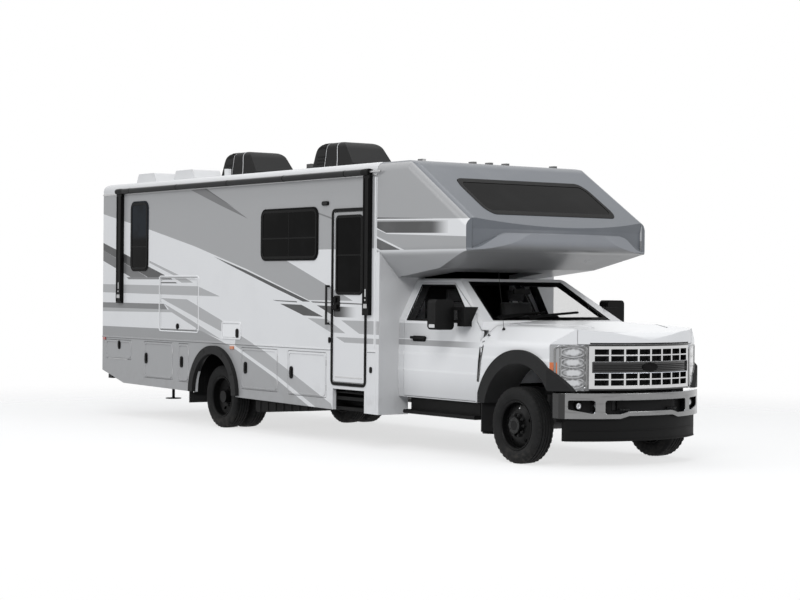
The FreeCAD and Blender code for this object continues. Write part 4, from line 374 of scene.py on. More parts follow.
def cab_paint():
    """White paint of the cab, with the fading side band, door creases, painted shade low down and near-black
    painted shade on faces that look inward or back.
    """
    s = Shade("cab_paint")
    x = s.math("SUBTRACT", s.x, FRONT_AXLE)
    cloud = s.noise(2.1, 5.0, 0.6)
    half, door_crease, sill_crease = 0.93, 1.125, 0.93
    color = s.mix(s.some(s.ramp(cloud, 0.45, 0.8), 0.06), grey(0.78), grey(0.56))
    outer = s.above(s.wide, half)
    band = s.both(outer, s.between(s.z, 1.190, 1.255), s.ramp(x, -0.62, -1.15))
    color = s.mix(band, color, grey(0.36))
    upper = s.both(outer, s.between(s.z, 1.262, 1.44), s.ramp(x, -1.10, -2.05), s.under(x, -1.1))
    color = s.mix(s.some(upper, 0.75), color, BAND)
    # painted shade: the paint grows darker towards the bottom
    color = s.mix(s.some(s.ramp(s.z, 0.95, 0.60), 0.5), color, grey(0.40))
    # painted shade: faces that look inward, and rearward faces within the cab, are near black
    inner = s.any(s.inward(), s.both(s.under(s.nx, -0.3), s.under(s.wide, half), s.above(x, -1.9)))
    color = s.mix(inner, color, grey(0.018))
    creases = s.math("ADD", s.ramp(s.z, door_crease, door_crease - 0.04),
                     s.some(s.ramp(s.z, sill_crease, sill_crease - 0.03), 0.6))
    relief = s.bump(creases, 0.7, 0.012, s.soft_edge(0.010))
    return s.set(color=color, rough=s.blend(cloud, 0.19, 0.27), specular=0.35, coat=0.2, coat_rough=0.05,
                 normal=s.peel(0.05, relief))


def paint(name, tint, rough=0.28, coat=0.5):
    """Plain cloudy paint."""
    s = Shade(name)
    cloud = s.noise(2.1, 5.0, 0.6)
    color = s.mix(s.some(s.ramp(cloud, 0.45, 0.8), 0.06), tint, darker(tint, 0.72))
    return s.set(color=color, rough=s.blend(cloud, rough * 0.85, rough * 1.2), coat=coat, coat_rough=0.06,
                 normal=s.peel(0.05, s.soft_edge()))


def roof_paint():
    """White roof with painted shade on its turned-down edges."""
    s = Shade("roof_white")
    cloud = s.noise(2.1, 5.0, 0.6)
    color = s.mix(s.some(s.ramp(cloud, 0.45, 0.8), 0.1), grey(0.68), grey(0.50))
    # painted shade on the turned-down edges
    color = s.mix(s.ramp(s.size(s.ny), 0.2, 0.6), color, grey(0.60))
    return s.set(color=color, rough=s.blend(cloud, 0.38, 0.5), coat=0.1, coat_rough=0.1,
                 normal=s.peel(0.12, s.soft_edge()))


def plastic(name, tint, rough=0.55, grain=0.35, scale=900.0, specular=0.35):
    """Moulded plastic with a fine grain and lighter scuffs."""
    s = Shade(name)
    cloud = s.noise(6.0, 6.0, 0.65)
    scuffed = tuple(value * 1.6 + 0.004 for value in tint)
    color = s.mix(s.some(s.ramp(cloud, 0.5, 0.8), 0.35), tint, scuffed)
    return s.set(color=color, rough=s.blend(cloud, rough * 0.85, min(1.0, rough * 1.25)), specular=specular,
                 normal=s.bump(s.cells(scale), grain, 0.0004, s.soft_edge(0.004)))


def metal(name, tint, rough=0.3, streak=0.0, metallic=1.0, specular=0.5):
    """Metal with cloudy tarnish and fine lines along X."""
    s = Shade(name)
    cloud = s.noise(9.0, 5.0, 0.6)
    lines = s.noise(5.0, 3.0, 0.6, s.stretched((2.0, 140.0, 140.0)))
    color = s.mix(s.some(s.ramp(cloud, 0.4, 0.8), 0.25), tint, darker(tint, 0.7))
    wear = s.math("MULTIPLY_ADD", lines, 0.6, s.some(cloud, 0.4))
    return s.set(color=color, metal=metallic, rough=s.blend(wear, rough * 0.7, rough * 1.35),
                 specular=specular, normal=s.bump(lines, streak, 0.0003, s.soft_edge(0.003)))


def chrome(name, ends=False):
    """Chrome with a painted reflection: dark where it faces the ground and bluish where it faces up, with
    black ends on a bumper.
    """
    s = Shade(name)
    cloud = s.noise(14.0, 4.0, 0.55)
    turned = s.math("MULTIPLY_ADD", cloud, 0.16, s.nz)
    # painted reflection of ground and sky, by which way the face looks
    color = s.mix(s.ramp(turned, -0.25, 0.12), grey(0.07), grey(0.24))
    color = s.mix(s.ramp(turned, 0.25, 0.8), color, (0.66, 0.70, 0.78))
    streaks = s.noise(3.0, 3.0, 0.5, s.stretched((1, 1, 14)))
    color = s.mix(s.some(s.ramp(streaks, 0.5, 0.72), 0.45), color, grey(0.12))
    shine = 1.0
    if ends:
        black = s.above(s.wide, 0.925)
        color = s.mix(black, color, BLACK)
        shine = s.off(black)
    return s.set(color=color, metal=shine, rough=s.blend(cloud, 0.08, 0.16), normal=s.soft_edge(0.012))


def grille_metal():
    """Chrome bars with a painted reflection, and black ribbed bands between, above and below the rows."""
    s = Shade("grille_chrome")
    cloud = s.noise(14.0, 4.0, 0.55)
    turned = s.math("MULTIPLY_ADD", cloud, 0.2, s.nz)
    # painted reflection: the chrome is darker where it faces down and paler where it faces up
    color = s.mix(s.ramp(turned, -0.2, 0.5), grey(0.50), grey(0.74))
    band = s.both(s.between(s.z, 0.984, 1.088), s.under(s.wide, 0.655))
    band = s.any(band, s.above(s.z, 1.254), s.under(s.z, 0.815))
    color = s.mix(band, color, s.mix(s.ribs(26.0), grey(0.006), grey(0.022)))
    inside = s.both(s.under(s.nx, 0.3), s.under(s.x, bx(0.92)))
    color = s.mix(inside, color, grey(0.03))
    return s.set(color=color, metal=s.off(s.any(band, inside)), rough=s.blend(cloud, 0.10, 0.2),
                 normal=s.soft_edge(0.004))


def lamp_face():
    """Head lamp behind its clear cover: stacked bowls with painted highlights in their middles and round
    their rims, and amber at the outer edge.
    """
    s = Shade("head_lamp_face")
    foot, row_height, middle, squeeze = 0.822, 0.105, 0.835, 4.6
    row = s.math("FRACT", s.some(s.math("SUBTRACT", s.z, foot), 1.0 / row_height))
    up = s.size(s.math("SUBTRACT", row, 0.5))
    across = s.size(s.some(s.math("SUBTRACT", s.wide, middle), squeeze))
    far = s.math("POWER", s.math("ADD", s.math("POWER", up, 2.0), s.math("POWER", across, 2.0)), 0.5)
    facets = s.cells(34.0)
    # painted highlight: each bowl is bright in its middle and on a ring round it
    bowl = s.math("MULTIPLY_ADD", facets, 0.5, s.ramp(far, 0.48, 0.08))
    color = s.mix(s.ramp(bowl, 0.2, 1.1), grey(0.075), grey(0.62))
    rim = s.both(s.ramp(far, 0.40, 0.46), s.ramp(far, 0.54, 0.48))
    color = s.mix(s.some(rim, 0.7), color, grey(0.6))
    color = s.mix(s.above(s.wide, 0.93), color, grey(0.34))
    amber = s.both(s.above(s.wide, 0.962), s.between(s.z, 0.90, 1.085))
    color = s.mix(amber, color, (0.62, 0.13, 0.015))
    color = s.mix(s.under(s.nx, -0.2), color, grey(0.02))
    return s.set(color=color, rough=s.blend(facets, 0.06, 0.3), coat=1.0, coat_rough=0.02, specular=0.5,
                 normal=s.bump(s.cells(46.0), 0.5, 0.004))


def window_glass():
    """Near-black glass of the house, with a painted reflection high in the rearmost one, and the clear
    windscreen.
    """
    s = Shade("window_glass")
    screen = s.both(s.above(s.x, bx(-1.5)), s.under(s.z, 1.97), s.under(s.wide, 0.9))
    pillar_top, lean, half_top = 1.905, 0.43, 0.622
    pillar = s.math("MULTIPLY_ADD", s.math("SUBTRACT", pillar_top, s.z), lean, half_top)
    edge = s.any(s.above(s.wide, pillar), s.under(s.z, 1.525), s.above(s.z, 1.872))
    smear = s.noise(2.3, 4.0, 0.6)
    # painted reflection: the rearmost window is paler and bluer near its top
    high = s.both(s.ramp(s.z, 2.45, 2.55), s.under(s.x, bx(-7.0)))
    color = s.mix(high, grey(0.0008), (0.012, 0.016, 0.021))
    color = s.mix(s.ramp(smear, 0.45, 0.75), color, grey(0.004))
    return s.set(color=color, rough=s.blend(smear, 0.03, 0.09), specular=0.03,
                 alpha=s.blend(s.both(screen, s.off(edge)), 1.0, 0.06), normal=s.bump(smear, 0.04, 0.004))


def cab_door_glass():
    """Clear cab door glass, black behind its rear pillar."""
    s = Shade("cab_door_glass")
    smear = s.noise(2.6, 4.0, 0.6)
    pillar = s.under(s.x, bx(-1.90))
    color = s.mix(s.ramp(smear, 0.4, 0.75), grey(0.006), grey(0.014))
    return s.set(color=color, rough=s.blend(smear, 0.03, 0.08), specular=0.08,
                 alpha=s.blend(pillar, 0.12, 1.0), normal=s.bump(smear, 0.04, 0.004))


def rubber(name, tint):
    """Dull rubber, dusty near the ground."""
    s = Shade(name)
    cloud = s.noise(7.0, 6.0, 0.65)
    color = s.mix(s.ramp(cloud, 0.4, 0.75), tint, darker(tint, 1.8))
    dust = s.both(s.ramp(s.z, 0.25, 0.0), s.ramp(s.noise(16.0, 5.0), 0.4, 0.7))
    color = s.mix(s.some(dust, 0.35), color, (0.10, 0.09, 0.08))
    return s.set(color=color, rough=s.blend(cloud, 0.62, 0.86), specular=0.12,
                 normal=s.bump(s.noise(240.0, 3.0), 0.25, 0.0008))


def cloth(name, tint):
    """Diagonal weave with cloudy wear."""
    s = Shade(name)
    inputs = {"Vector": s.place, "Scale": 160.0, "Distortion": 1.2, "Detail": 2.0}
    weave = s.node("ShaderNodeTexWave", inputs, bands_direction="DIAGONAL").outputs["Fac"]
    color = s.mix(weave, tint, darker(tint, 1.6))
    color = s.mix(s.some(s.noise(4.0, 4.0), 0.3), color, darker(tint, 0.6))
    return s.set(color=color, rough=0.9, sheen=0.3, normal=s.bump(weave, 0.35, 0.0006))


def lens(name, tint, dark=None):
    """Ribbed lens with a darker tint on its ribs."""
    s = Shade(name)
    ribs = s.ribs(40.0)
    color = s.mix(s.some(ribs, 0.35), tint, dark or darker(tint, 0.45))
    return s.set(color=color, rough=s.blend(ribs, 0.06, 0.16), coat=1.0, coat_rough=0.03,
                 normal=s.bump(ribs, 0.2, 0.001))


def body_lamp_lens():
    """Red lenses with a clear band at the tail, smoked clearance lamps over the cab."""
    s = Shade("body_lamp_lens")
    ribs = s.ribs(30.0)
    clear = s.both(s.between(s.z, 1.06, 1.15), s.under(s.x, 0.0))
    red = s.mix(ribs, (0.30, 0.012, 0.010), (0.44, 0.03, 0.02))
    color = s.mix(clear, red, grey(0.55))
    color = s.mix(s.above(s.x, 0.0), color, s.mix(ribs, grey(0.035), grey(0.075)))
    return s.set(color=color, rough=s.blend(ribs, 0.07, 0.18), coat=1.0, coat_rough=0.03,
                 normal=s.bump(ribs, 0.2, 0.001, s.soft_edge(0.004)))


def cooler_shell():
    """Black shrouds of the air conditioners with a fine grain and a painted highlight on top."""
    s = Shade("cooler_shell")
    cloud = s.noise(3.0, 6.0, 0.65)
    color = s.mix(s.ramp(cloud, 0.4, 0.75), grey(0.007), grey(0.016))
    # painted highlight: faces that look up are lighter
    color = s.mix(s.some(s.ramp(s.nz, 0.2, 0.95), 0.7), color, grey(0.030))
    return s.set(color=color, rough=s.blend(cloud, 0.42, 0.62), specular=0.1,
                 normal=s.bump(s.cells(700.0), 0.3, 0.0005, s.soft_edge(0.010)))


def roof_gear():
    """White lids and a black round vent."""
    s = Shade("roof_gear")
    cloud = s.noise(3.0, 5.0, 0.6)
    vent = s.both(s.between(s.x, bx(-5.80), bx(-5.40)), s.above(s.y, -0.12))
    white = s.mix(s.some(cloud, 0.2), grey(0.66), grey(0.46))
    black = s.mix(cloud, grey(0.012), grey(0.030))
    return s.set(color=s.mix(vent, white, black), rough=s.blend(cloud, 0.35, 0.55),
                 normal=s.bump(s.cells(600.0), 0.2, 0.0004, s.soft_edge(0.008)))


def awning_parts():
    """Dark roll with a painted highlight on top, between black arms."""
    s = Shade("awning_parts")
    cloud = s.noise(5.0, 5.0, 0.6)
    x = s.math("SUBTRACT", s.x, FRONT_AXLE)
    roll = s.both(s.above(s.z, 3.112), s.between(x, -8.50, -2.50))
    arms = s.mix(cloud, grey(0.003), grey(0.008))
    cover = s.mix(cloud, grey(0.020), grey(0.034))
    # painted highlight: the roll's cover is paler where it faces up
    color = s.mix(roll, arms, s.mix(s.ramp(s.nz, 0.55, 0.8), cover, grey(0.12)))
    return s.set(color=color, rough=s.blend(cloud, 0.35, 0.5), specular=0.06,
                 normal=s.bump(s.noise(300.0, 2.0), 0.1, 0.0004, s.soft_edge(0.004)))


M = {
    "house": livery(),
    "cab": cab_paint(),
    "roof": roof_paint(),
    "trim_white": paint("white_trim", grey(0.80), 0.3, 0.4),
    "black": plastic("black_plastic", grey(0.005), specular=0.10),
    "trim": plastic("trim_black", grey(0.003), 0.38, 0.15, specular=0.06),
    "flare": plastic("flare_grey", grey(0.018), 0.62, 0.5, specular=0.12),
    "steel": metal("black_steel", grey(0.012), 0.45, 0.1, 0.1, 0.12),
    "wheel": metal("wheel_black", grey(0.006), 0.36, 0.0, 0.02, 0.10),
    "nut": metal("nut_black", grey(0.014), 0.4, 0.0, 0.1, 0.2),
    "bumper": chrome("bumper_chrome", ends=True),
    "chrome": chrome("bright_chrome"),
    "grille": grille_metal(),
    "iron": metal("cast_iron", grey(0.06), 0.6, 0.3, 0.7),
    "brushed": metal("brushed_steel", grey(0.42), 0.35, 0.3),
    "alu": metal("sheet_aluminium", grey(0.50), 0.4, 0.2),
    "glass": window_glass(),
    "cab_glass": cab_door_glass(),
    "lamp": lamp_face(),
    "tyre": rubber("tyre_rubber", (0.012, 0.012, 0.012)),
    "wood": plastic("sealed_board", (0.030, 0.028, 0.025), 0.8, 0.3, 60.0),
    "dash": plastic("dash_plastic", grey(0.020), 0.6, 0.5),
    "cloth": cloth("seat_cloth", grey(0.040)),
    "amber": lens("amber_lens", (0.60, 0.14, 0.015)),
    "red": lens("red_lens", (0.36, 0.015, 0.012)),
    "clear": lens("clear_lens", grey(0.70), grey(0.30)),
    "body_lamp": body_lamp_lens(),
    "cooler": cooler_shell(),
    "roof_gear": roof_gear(),
    "awning": awning_parts(),
}

FINISH = {
    "tyre": ["tyre_front_right", "tyre_front_left", "tyres_rear_right", "tyres_rear_left"],
    "wheel": ["rim_front_right", "rim_front_left", "rims_rear_right", "rims_rear_left"],
    "steel": ["chassis_frame", "levelling_jacks", "rear_axle", "rear_bumper"],
    "iron": ["knuckle_right", "knuckle_left", "front_axle", "engine_and_exhaust"],
    "brushed": ["fuel_tank"],
    "house": ["wall_right", "wall_left", "wall_rear", "skirt_right", "skirt_left", "entry_door",
              "front_cap"],
    "roof": ["roof"],
    "roof_gear": ["roof_vents"],
    "wood": ["house_floor"],
    "alu": ["baggage_boxes_right", "baggage_boxes_left"],
    "awning": ["awning"],
    "cooler": ["roof_air_conditioners"],
    "black": ["air_dam", "running_boards", "door_mirror_right", "door_mirror_left", "entry_steps"],
    "flare": ["wheel_flares"],
    "cab": ["cab_shell", "cab_door_right", "cab_door_left", "hood", "front_fenders"],
    "glass": ["entry_door_glass", "fixed_windows"],
    "cab_glass": ["cab_door_glass_right", "cab_door_glass_left"],
    "grille": ["grille"],
    "bumper": ["front_bumper"],
    "lamp": ["head_lamps"],
    "cloth": ["cab_seats"],
    "dash": ["dashboard"],
    "body_lamp": ["body_lamps"],
}


def finish_nodes():
    """Give every carried-over CAD node its finish."""
    table = {name: key for key, names in FINISH.items() for name in names}
    table.update({name: "house" for name in nodes if "_locker_door_" in name})
    for name, key in table.items():
        for place in nodes[name].material_slots:
            place.link = "OBJECT"
            place.material = M[key]


finish_nodes()


# shapes
def add(name, form, key, body=CAR, smooth=False, bevel=0.0, segments=2):
    """Built form or mesh as a piece of the scene that rides on a body."""
    mesh = form.mesh(name) if isinstance(form, Build) else form
    item = bpy.data.objects.new(name, mesh)
    bpy.context.scene.collection.objects.link(item)
    mesh.materials.append(M[key])
    for face in mesh.polygons:
        face.use_smooth = smooth
    if bevel:
        rounding = item.modifiers.new("bevel", "BEVEL")
        rounding.width = bevel
        rounding.segments = segments
        rounding.limit_method = "ANGLE"
        rounding.harden_normals = False
    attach(item, body)
    return item


# for each axis: the place of a point given along the other two and it, and the two ways across it
SPOTS = {"X": lambda u, v, w: (w, u, v), "Y": lambda u, v, w: (u, w, v), "Z": lambda u, v, w: (u, v, w)}
ACROSS = {"X": ((0, 1, 0), (0, 0, 1)), "Y": ((0, 0, 1), (1, 0, 0)), "Z": ((1, 0, 0), (0, 1, 0))}


class Build:
    """Collects many small forms in one mesh. A call that adds one gives the builder back."""

    def __init__(self):
        self.bm = bmesh.new()

    def loft(self, loops, closed=False):
        """Skin between loops of points; closed joins the last loop to the first."""
        made = [[self.bm.verts.new(point) for point in loop] for loop in loops]
        count = len(made[0])
        for a in range(len(made) if closed else len(made) - 1):
            one, two = made[a], made[(a + 1) % len(made)]
            for i in range(count):
                j = (i + 1) % count
                self.bm.faces.new([one[i], one[j], two[j], two[i]])
        if not closed:
            self.bm.faces.new(made[0][::-1])
            self.bm.faces.new(made[-1])
        return self

    def box(self, low, high):
        outline = [(low[0], low[1]), (high[0], low[1]), (high[0], high[1]), (low[0], high[1])]
        return self.prism(outline, "Z", low[2], high[2])

    def prism(self, outline, axis, low, high):
        """Outline of (u, v) points extruded along an axis; u, v are the other two axes in order."""
        spot = SPOTS[axis]
        return self.loft([[spot(u, v, w) for u, v in outline] for w in (low, high)])

    def ring(self, outer, inner, axis, low, high):
        """Band between two outlines with the same number of points, extruded."""
        spot = SPOTS[axis]
        corners = ((outer, low), (outer, high), (inner, high), (inner, low))
        return self.loft([[spot(u, v, w) for u, v in outline] for outline, w in corners], True)

    def border(self, low, high, radius, steps_out, axis, near, far):
        """Band round a rounded rectangle, between two distances outside it, extruded along an axis."""
        outer, inner = (grown(low, high, radius, by) for by in steps_out)
        return self.ring(outer, inner, axis, near, far)

    def revolve(self, profile, centre, axis, steps=48, closed=False):
        """Profile of (along, radius) points turned about an axis through centre."""
        u, v = (Vector(way) for way in ACROSS[axis])
        w = u.cross(v)
        middle = Vector(centre)
        turns = [2 * math.pi * step / steps for step in range(steps)]
        loops = []
        for along, radius in profile:
            loops.append([middle + w * along + (u * math.cos(t) + v * math.sin(t)) * radius for t in turns])
        return self.loft(loops, closed)

    def rod(self, a, b, radius, sides=12):
        """Round bar between two points."""
        a, b = Vector(a), Vector(b)
        along = (b - a).normalized()
        across = along.orthogonal().normalized()
        up = along.cross(across)
        turns = [2 * math.pi * i / sides for i in range(sides)]
        return self.loft([[end + (across * math.cos(t) + up * math.sin(t)) * radius for t in turns]
                          for end in (a, b)])

    def pipe(self, points, radius, sides=10):
        for a, b in zip(points, points[1:]):
            self.rod(a, b, radius, sides)
        return self

    def laid_ring(self, outer, inner, reach, proud, sink=0.004):
        """Raised band between two outlines, laid on the surface that reach finds."""
        loops = []
        for outline, lift in ((outer, -sink), (outer, proud), (inner, proud), (inner, -sink)):
            loops.append([spot + way * lift for spot, way in (reach(u, v) for u, v in outline)])
        return self.loft(loops, True)

    def laid_patch(self, outline, reach, proud, sink=0.004):
        """Raised patch with the outline, laid on the surface that reach finds."""
        spots = [reach(u, v) for u, v in outline]
        return self.loft([[spot + way * lift for spot, way in spots] for lift in (-sink, proud)])

    def laid_strip(self, path, width, reach, proud, sink=0.003):
        """Raised strip along a path of (u, v) points, laid on the surface that reach finds."""
        rails = ([], [])
        for i, (u, v) in enumerate(path):
            before, after = path[max(0, i - 1)], path[min(len(path) - 1, i + 1)]
            du, dv = after[0] - before[0], after[1] - before[1]
            size = math.hypot(du, dv)
            for rail, sign in zip(rails, (1, -1)):
                rail.append((u - dv / size * width / 2 * sign, v + du / size * width / 2 * sign))
        sections = []
        for one, two in zip(*rails):
            (a, way_a), (b, way_b) = reach(*one), reach(*two)
            sections.append([a - way_a * sink, a + way_a * proud, b + way_b * proud, b - way_b * sink])
        return self.loft(sections)

    def twin(self):
        """The same again on the other side of the middle plane."""
        faces = [list(face.verts) for face in self.bm.faces]
        table = {v: self.bm.verts.new((v.co.x, -v.co.y, v.co.z)) for v in list(self.bm.verts)}
        for face in faces:
            self.bm.faces.new([table[v] for v in reversed(face)])
        return self

    def mesh(self, name):
        bmesh.ops.recalc_face_normals(self.bm, faces=self.bm.faces)
        mesh = bpy.data.meshes.new(name)
        self.bm.to_mesh(mesh)
        self.bm.free()
        return mesh


def mirrored(mesh):
    """Copy of a mesh on the other side of the middle plane."""
    copy = mesh.copy()
    copy.transform(Matrix.Scale(-1, 4, Vector((0, 1, 0))))
    copy.flip_normals()
    return copy


def pair(name, build, key, body="%s", **looks):
    """A right-hand piece and its mirror image, each on the body of its side."""
    mesh = build.mesh(name)
    other = mirrored(mesh)
    for side, made in (("right", mesh), ("left", other)):
        add(name + "_" + side, made, key, body % side if "%s" in body else body, **looks)


def rounded(low, high, radius, steps=5):
    """Rounded rectangle between two (u, v) points as an outline."""
    points = []
    left, right = low[0] + radius, high[0] - radius
    foot, top = low[1] + radius, high[1] - radius
    for cu, cv, start in ((right, top, 0), (left, top, 90), (left, foot, 180), (right, foot, 270)):
        for step in range(steps + 1):
            turn = math.radians(start + 90 * step / steps)
            points.append((cu + radius * math.cos(turn), cv + radius * math.sin(turn)))
    return points


def grown(low, high, radius, by, steps=5):
    """The same outline with all its edges further out."""
    return rounded((low[0] - by, low[1] - by), (high[0] + by, high[1] + by), max(radius + by, 0.001), steps)


def dense(points, gap=0.04):
    """A path with points added so that none are further apart than the gap."""
    out = [points[0]]
    for a, b in zip(points, points[1:]):
        count = max(1, math.ceil(math.dist(a, b) / gap))
        for step in range(1, count + 1):
            share = step / count
            out.append((a[0] + (b[0] - a[0]) * share, a[1] + (b[1] - a[1]) * share))
    return out


class Skin:
    """Outer surface of some CAD nodes, found by rays, to lay trim on."""

    def __init__(self, *names):
        verts, faces = [], []
        for name in names:
            mesh = nodes[name].data
            start = len(verts)
            verts += [vert.co.copy() for vert in mesh.vertices]
            faces += [[start + i for i in face.vertices] for face in mesh.polygons]
        self.tree = BVHTree.FromPolygons(verts, faces)

    def meet(self, start, way):
        """Where a ray meets the surface, and the way the surface faces there."""
        spot, normal, _, _ = self.tree.ray_cast(Vector(start), Vector(way))
        if spot is None:
            raise ValueError("no surface there: %s %s" % (start, way))
        if normal.dot(Vector(way)) > 0:
            normal = -normal
        return spot, normal

    def front(self, y, z):
        return self.meet((9, y, z), (-1, 0, 0))

    def side(self, x, z):
        return self.meet((x, -3, z), (0, 1, 0))

    def left_side(self, x, z):
        return self.meet((x, 3, z), (0, -1, 0))

    def top(self, x, y):
        return self.meet((x, y, 9), (0, 0, -1))

    def about(self, centre_z):
        """Reach by (x, turn from the right side over the top) towards a line along X."""
        def reach(x, turn):
            out = Vector((0, -math.cos(turn), math.sin(turn)))
            return self.meet(Vector((x, 0, centre_z)) + out * 3, -out)
        return reach


# wheels
# half a tyre's section as (across, radius) points: its side wall, then its tread
TYRE_SIDE = [(-0.085, 0.2635), (-0.095, 0.270), (-0.1035, 0.286), (-0.1095, 0.306), (-0.1105, 0.309),
             (-0.1095, 0.312), (-0.1118, 0.324), (-0.1125, 0.3335), (-0.1118, 0.345), (-0.1090, 0.357),
             (-0.1098, 0.360), (-0.1075, 0.363), (-0.1010, 0.381), (-0.0955, 0.392)]
TYRE_TREAD = [(-0.0915, 0.398), (-0.0865, 0.4015), (-0.064, 0.4032), (-0.062, 0.3915), (-0.052, 0.3915),
              (-0.050, 0.4042), (-0.024, 0.4050), (-0.022, 0.3925), (-0.012, 0.3925), (-0.010, 0.4050)]
# middles of the tyres, and the faces of the hubs that the nuts sit on
FRONT_TYRE_Y = 0.95
REAR_TYRES_Y = (1.08, 0.80)
FRONT_HUB_FACE = 1.015
REAR_HUB_FACE = 1.037


def notched(across, radius):
    """Radius of a tread point in a notch: the shoulder is cut deep, the rib beside it a little."""
    if radius > 0.39 and abs(across) > 0.066:
        return radius - 0.008
    if radius > 0.4 and 0.03 < abs(across) < 0.06:
        return radius - 0.004
    return radius


def tyre_mesh(name, middles, place_x):
    """Road tyres with grooves, shoulder blocks and ringed side walls."""
    build = Build()
    half = TYRE_SIDE + TYRE_TREAD
    profile = half + [(-a, r) for a, r in reversed(half)]
    steps, notch_every = 120, 3
    for middle in middles:
        loops = []
        for step in range(steps):
            turn = 2 * math.pi * step / steps
            ring = []
            for a, r in profile:
                if step % notch_every == 0:
                    r = notched(a, r)
                ring.append((place_x + r * math.sin(turn), middle + a, WHEEL_Z + r * math.cos(turn)))
            loops.append(ring)
        build.loft(loops, True)
    return build.mesh(name)


def wheel_nuts(name, place_x, face, body):
    """Ten nuts on their studs round a pair of hubs."""
    count, circle, size, tall, stud_tall = 10, 0.112, 0.0165, 0.024, 0.011
    build = Build()
    for number in range(count):
        turn = 2 * math.pi * (number + 0.5) / count
        cx, cz = place_x + circle * math.sin(turn), WHEEL_Z + circle * math.cos(turn)
        corners = [math.radians(60 * k + 20) for k in range(6)]
        outline = [(cx + size * math.cos(t), cz + size * math.sin(t)) for t in corners]
        build.prism(outline, "Y", -face + 0.004, -face - tall)
        build.rod((cx, -face, cz), (cx, -face - tall - stud_tall, cz), size * 0.5, 10)
    pair(name, build, "nut", body, bevel=0.0015)


def hub_faces():
    """Ring, cap and six bolts on the front hubs."""
    centre = (FRONT_AXLE, 0, WHEEL_Z)
    ring = [(1.060, 0.050), (1.0685, 0.053), (1.0685, 0.084), (1.060, 0.088)]
    cap = [(1.0655, 0.0005), (1.0665, 0.030), (1.0640, 0.0335), (1.0600, 0.034)]
    hub = Build().revolve(ring, centre, "Y", 40, True)
    hub.revolve(cap, centre, "Y", 32)
    bolts, circle = 6, 0.068
    for bolt in range(bolts):
        turn = 2 * math.pi * bolt / bolts
        cx, cz = FRONT_AXLE + circle * math.sin(turn), WHEEL_Z + circle * math.cos(turn)
        hub.rod((cx, 1.066, cz), (cx, 1.0735, cz), 0.006, 8)
    mesh = hub.mesh("hub")
    add("hub_face_left", mesh, "nut", "front_wheel_left", bevel=0.001)
    add("hub_face_right", mirrored(mesh), "nut", "front_wheel_right", bevel=0.001)


def bead_rings():
    """Ring where the front tyre sits on its rim, with the valve."""
    section = [(-1.034, 0.2545), (-1.0385, 0.2575), (-1.0385, 0.2625), (-1.034, 0.2645)]
    rings = Build().revolve(section, (FRONT_AXLE, 0, WHEEL_Z), "Y", 72, True)
    foot = (FRONT_AXLE + 0.165, -1.036, WHEEL_Z - 0.15)
    rings.rod(foot, (FRONT_AXLE + 0.150, -1.045, WHEEL_Z - 0.137), 0.004, 8)
    pair("front_bead_ring", rings, "wheel", "front_wheel_%s", bevel=0.001)


def tyres():
    """Treaded tyres in place of the plain ones."""
    for side, sign in (("right", -1), ("left", 1)):
        one = tyre_mesh("tyre", [sign * FRONT_TYRE_Y], FRONT_AXLE)
        front = add("tyre_tread_front_" + side, one, "tyre", "front_wheel_" + side)
        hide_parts("tyre_front_" + side)
        two = tyre_mesh("tyre", [sign * y for y in REAR_TYRES_Y], REAR_AXLE)
        rear = add("tyre_tread_rear_" + side, two, "tyre", "rear_wheels_" + side)
        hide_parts("tyres_rear_" + side)


tyres()
wheel_nuts("front_nuts", FRONT_AXLE, FRONT_HUB_FACE, "front_wheel_%s")
wheel_nuts("rear_nuts", REAR_AXLE, REAR_HUB_FACE, "rear_wheels_%s")
hub_faces()
bead_rings()


# house sides
# rear end of the walls from the front axle, how deep trim sits in a wall, how far a hinge stands out
REAR_END = -9.2
SUNK = 0.001
PROUD_HINGE = 0.0015


def side_plate(build, outline, proud, base=-SUNK):
    """Outline of (x, z) points standing proud of the right wall."""
    return build.prism(outline, "Y", -SIDE - proud, -SIDE - base)


def plate(low, high, radius):
    """Rounded outline between two points of (x from the front axle, z)."""
    return rounded((bx(low[0]), low[1]), (bx(high[0]), high[1]), radius)


def entry_frames():
    """Black frames of the doorway and of the door's window, with its bar."""
    low, high = (bx(-3.15), 0.727), (bx(-2.49), 2.72)
    build = Build()
    build.ring(grown(low, high, 0.03, 0.040), grown(low, high, 0.012, 0.002), "Y", -SIDE - 0.012, -SIDE)
    add("entry_frame", build, "trim", bevel=0.003)
    corner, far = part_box("entry_door_glass")
    face = corner[1]
    low, high = (corner[0], corner[2]), (far[0], far[2])
    window = Build().border(low, high, 0.05, (0.012, -0.022), "Y", face - 0.006, face + 0.004)
    window.box((low[0] + 0.01, face - 0.003, 2.205), (high[0] - 0.01, face + 0.003, 2.222))
    add("entry_window_frame", window, "trim", "entry_door", bevel=0.002)


def entry_fittings():
    """Latch and drip edge of the entry door."""
    body = 0.012
    latch = Build()
    side_plate(latch, plate((-3.13, 1.555), (-3.01, 1.74), 0.02), 0.014)
    side_plate(latch, plate((-3.118, 1.66), (-3.062, 1.725), 0.015), 0.030, body)
    side_plate(latch, plate((-3.110, 1.58), (-3.03, 1.635), 0.018), 0.040, body)
    add("entry_latch", latch, "trim", "entry_door", bevel=0.004)
    drip = side_plate(Build(), plate((-3.11, 0.78), (-2.53, 0.795), 0.006), 0.003)
    add("entry_drip_edge", drip, "alu", "entry_door", bevel=0.001)


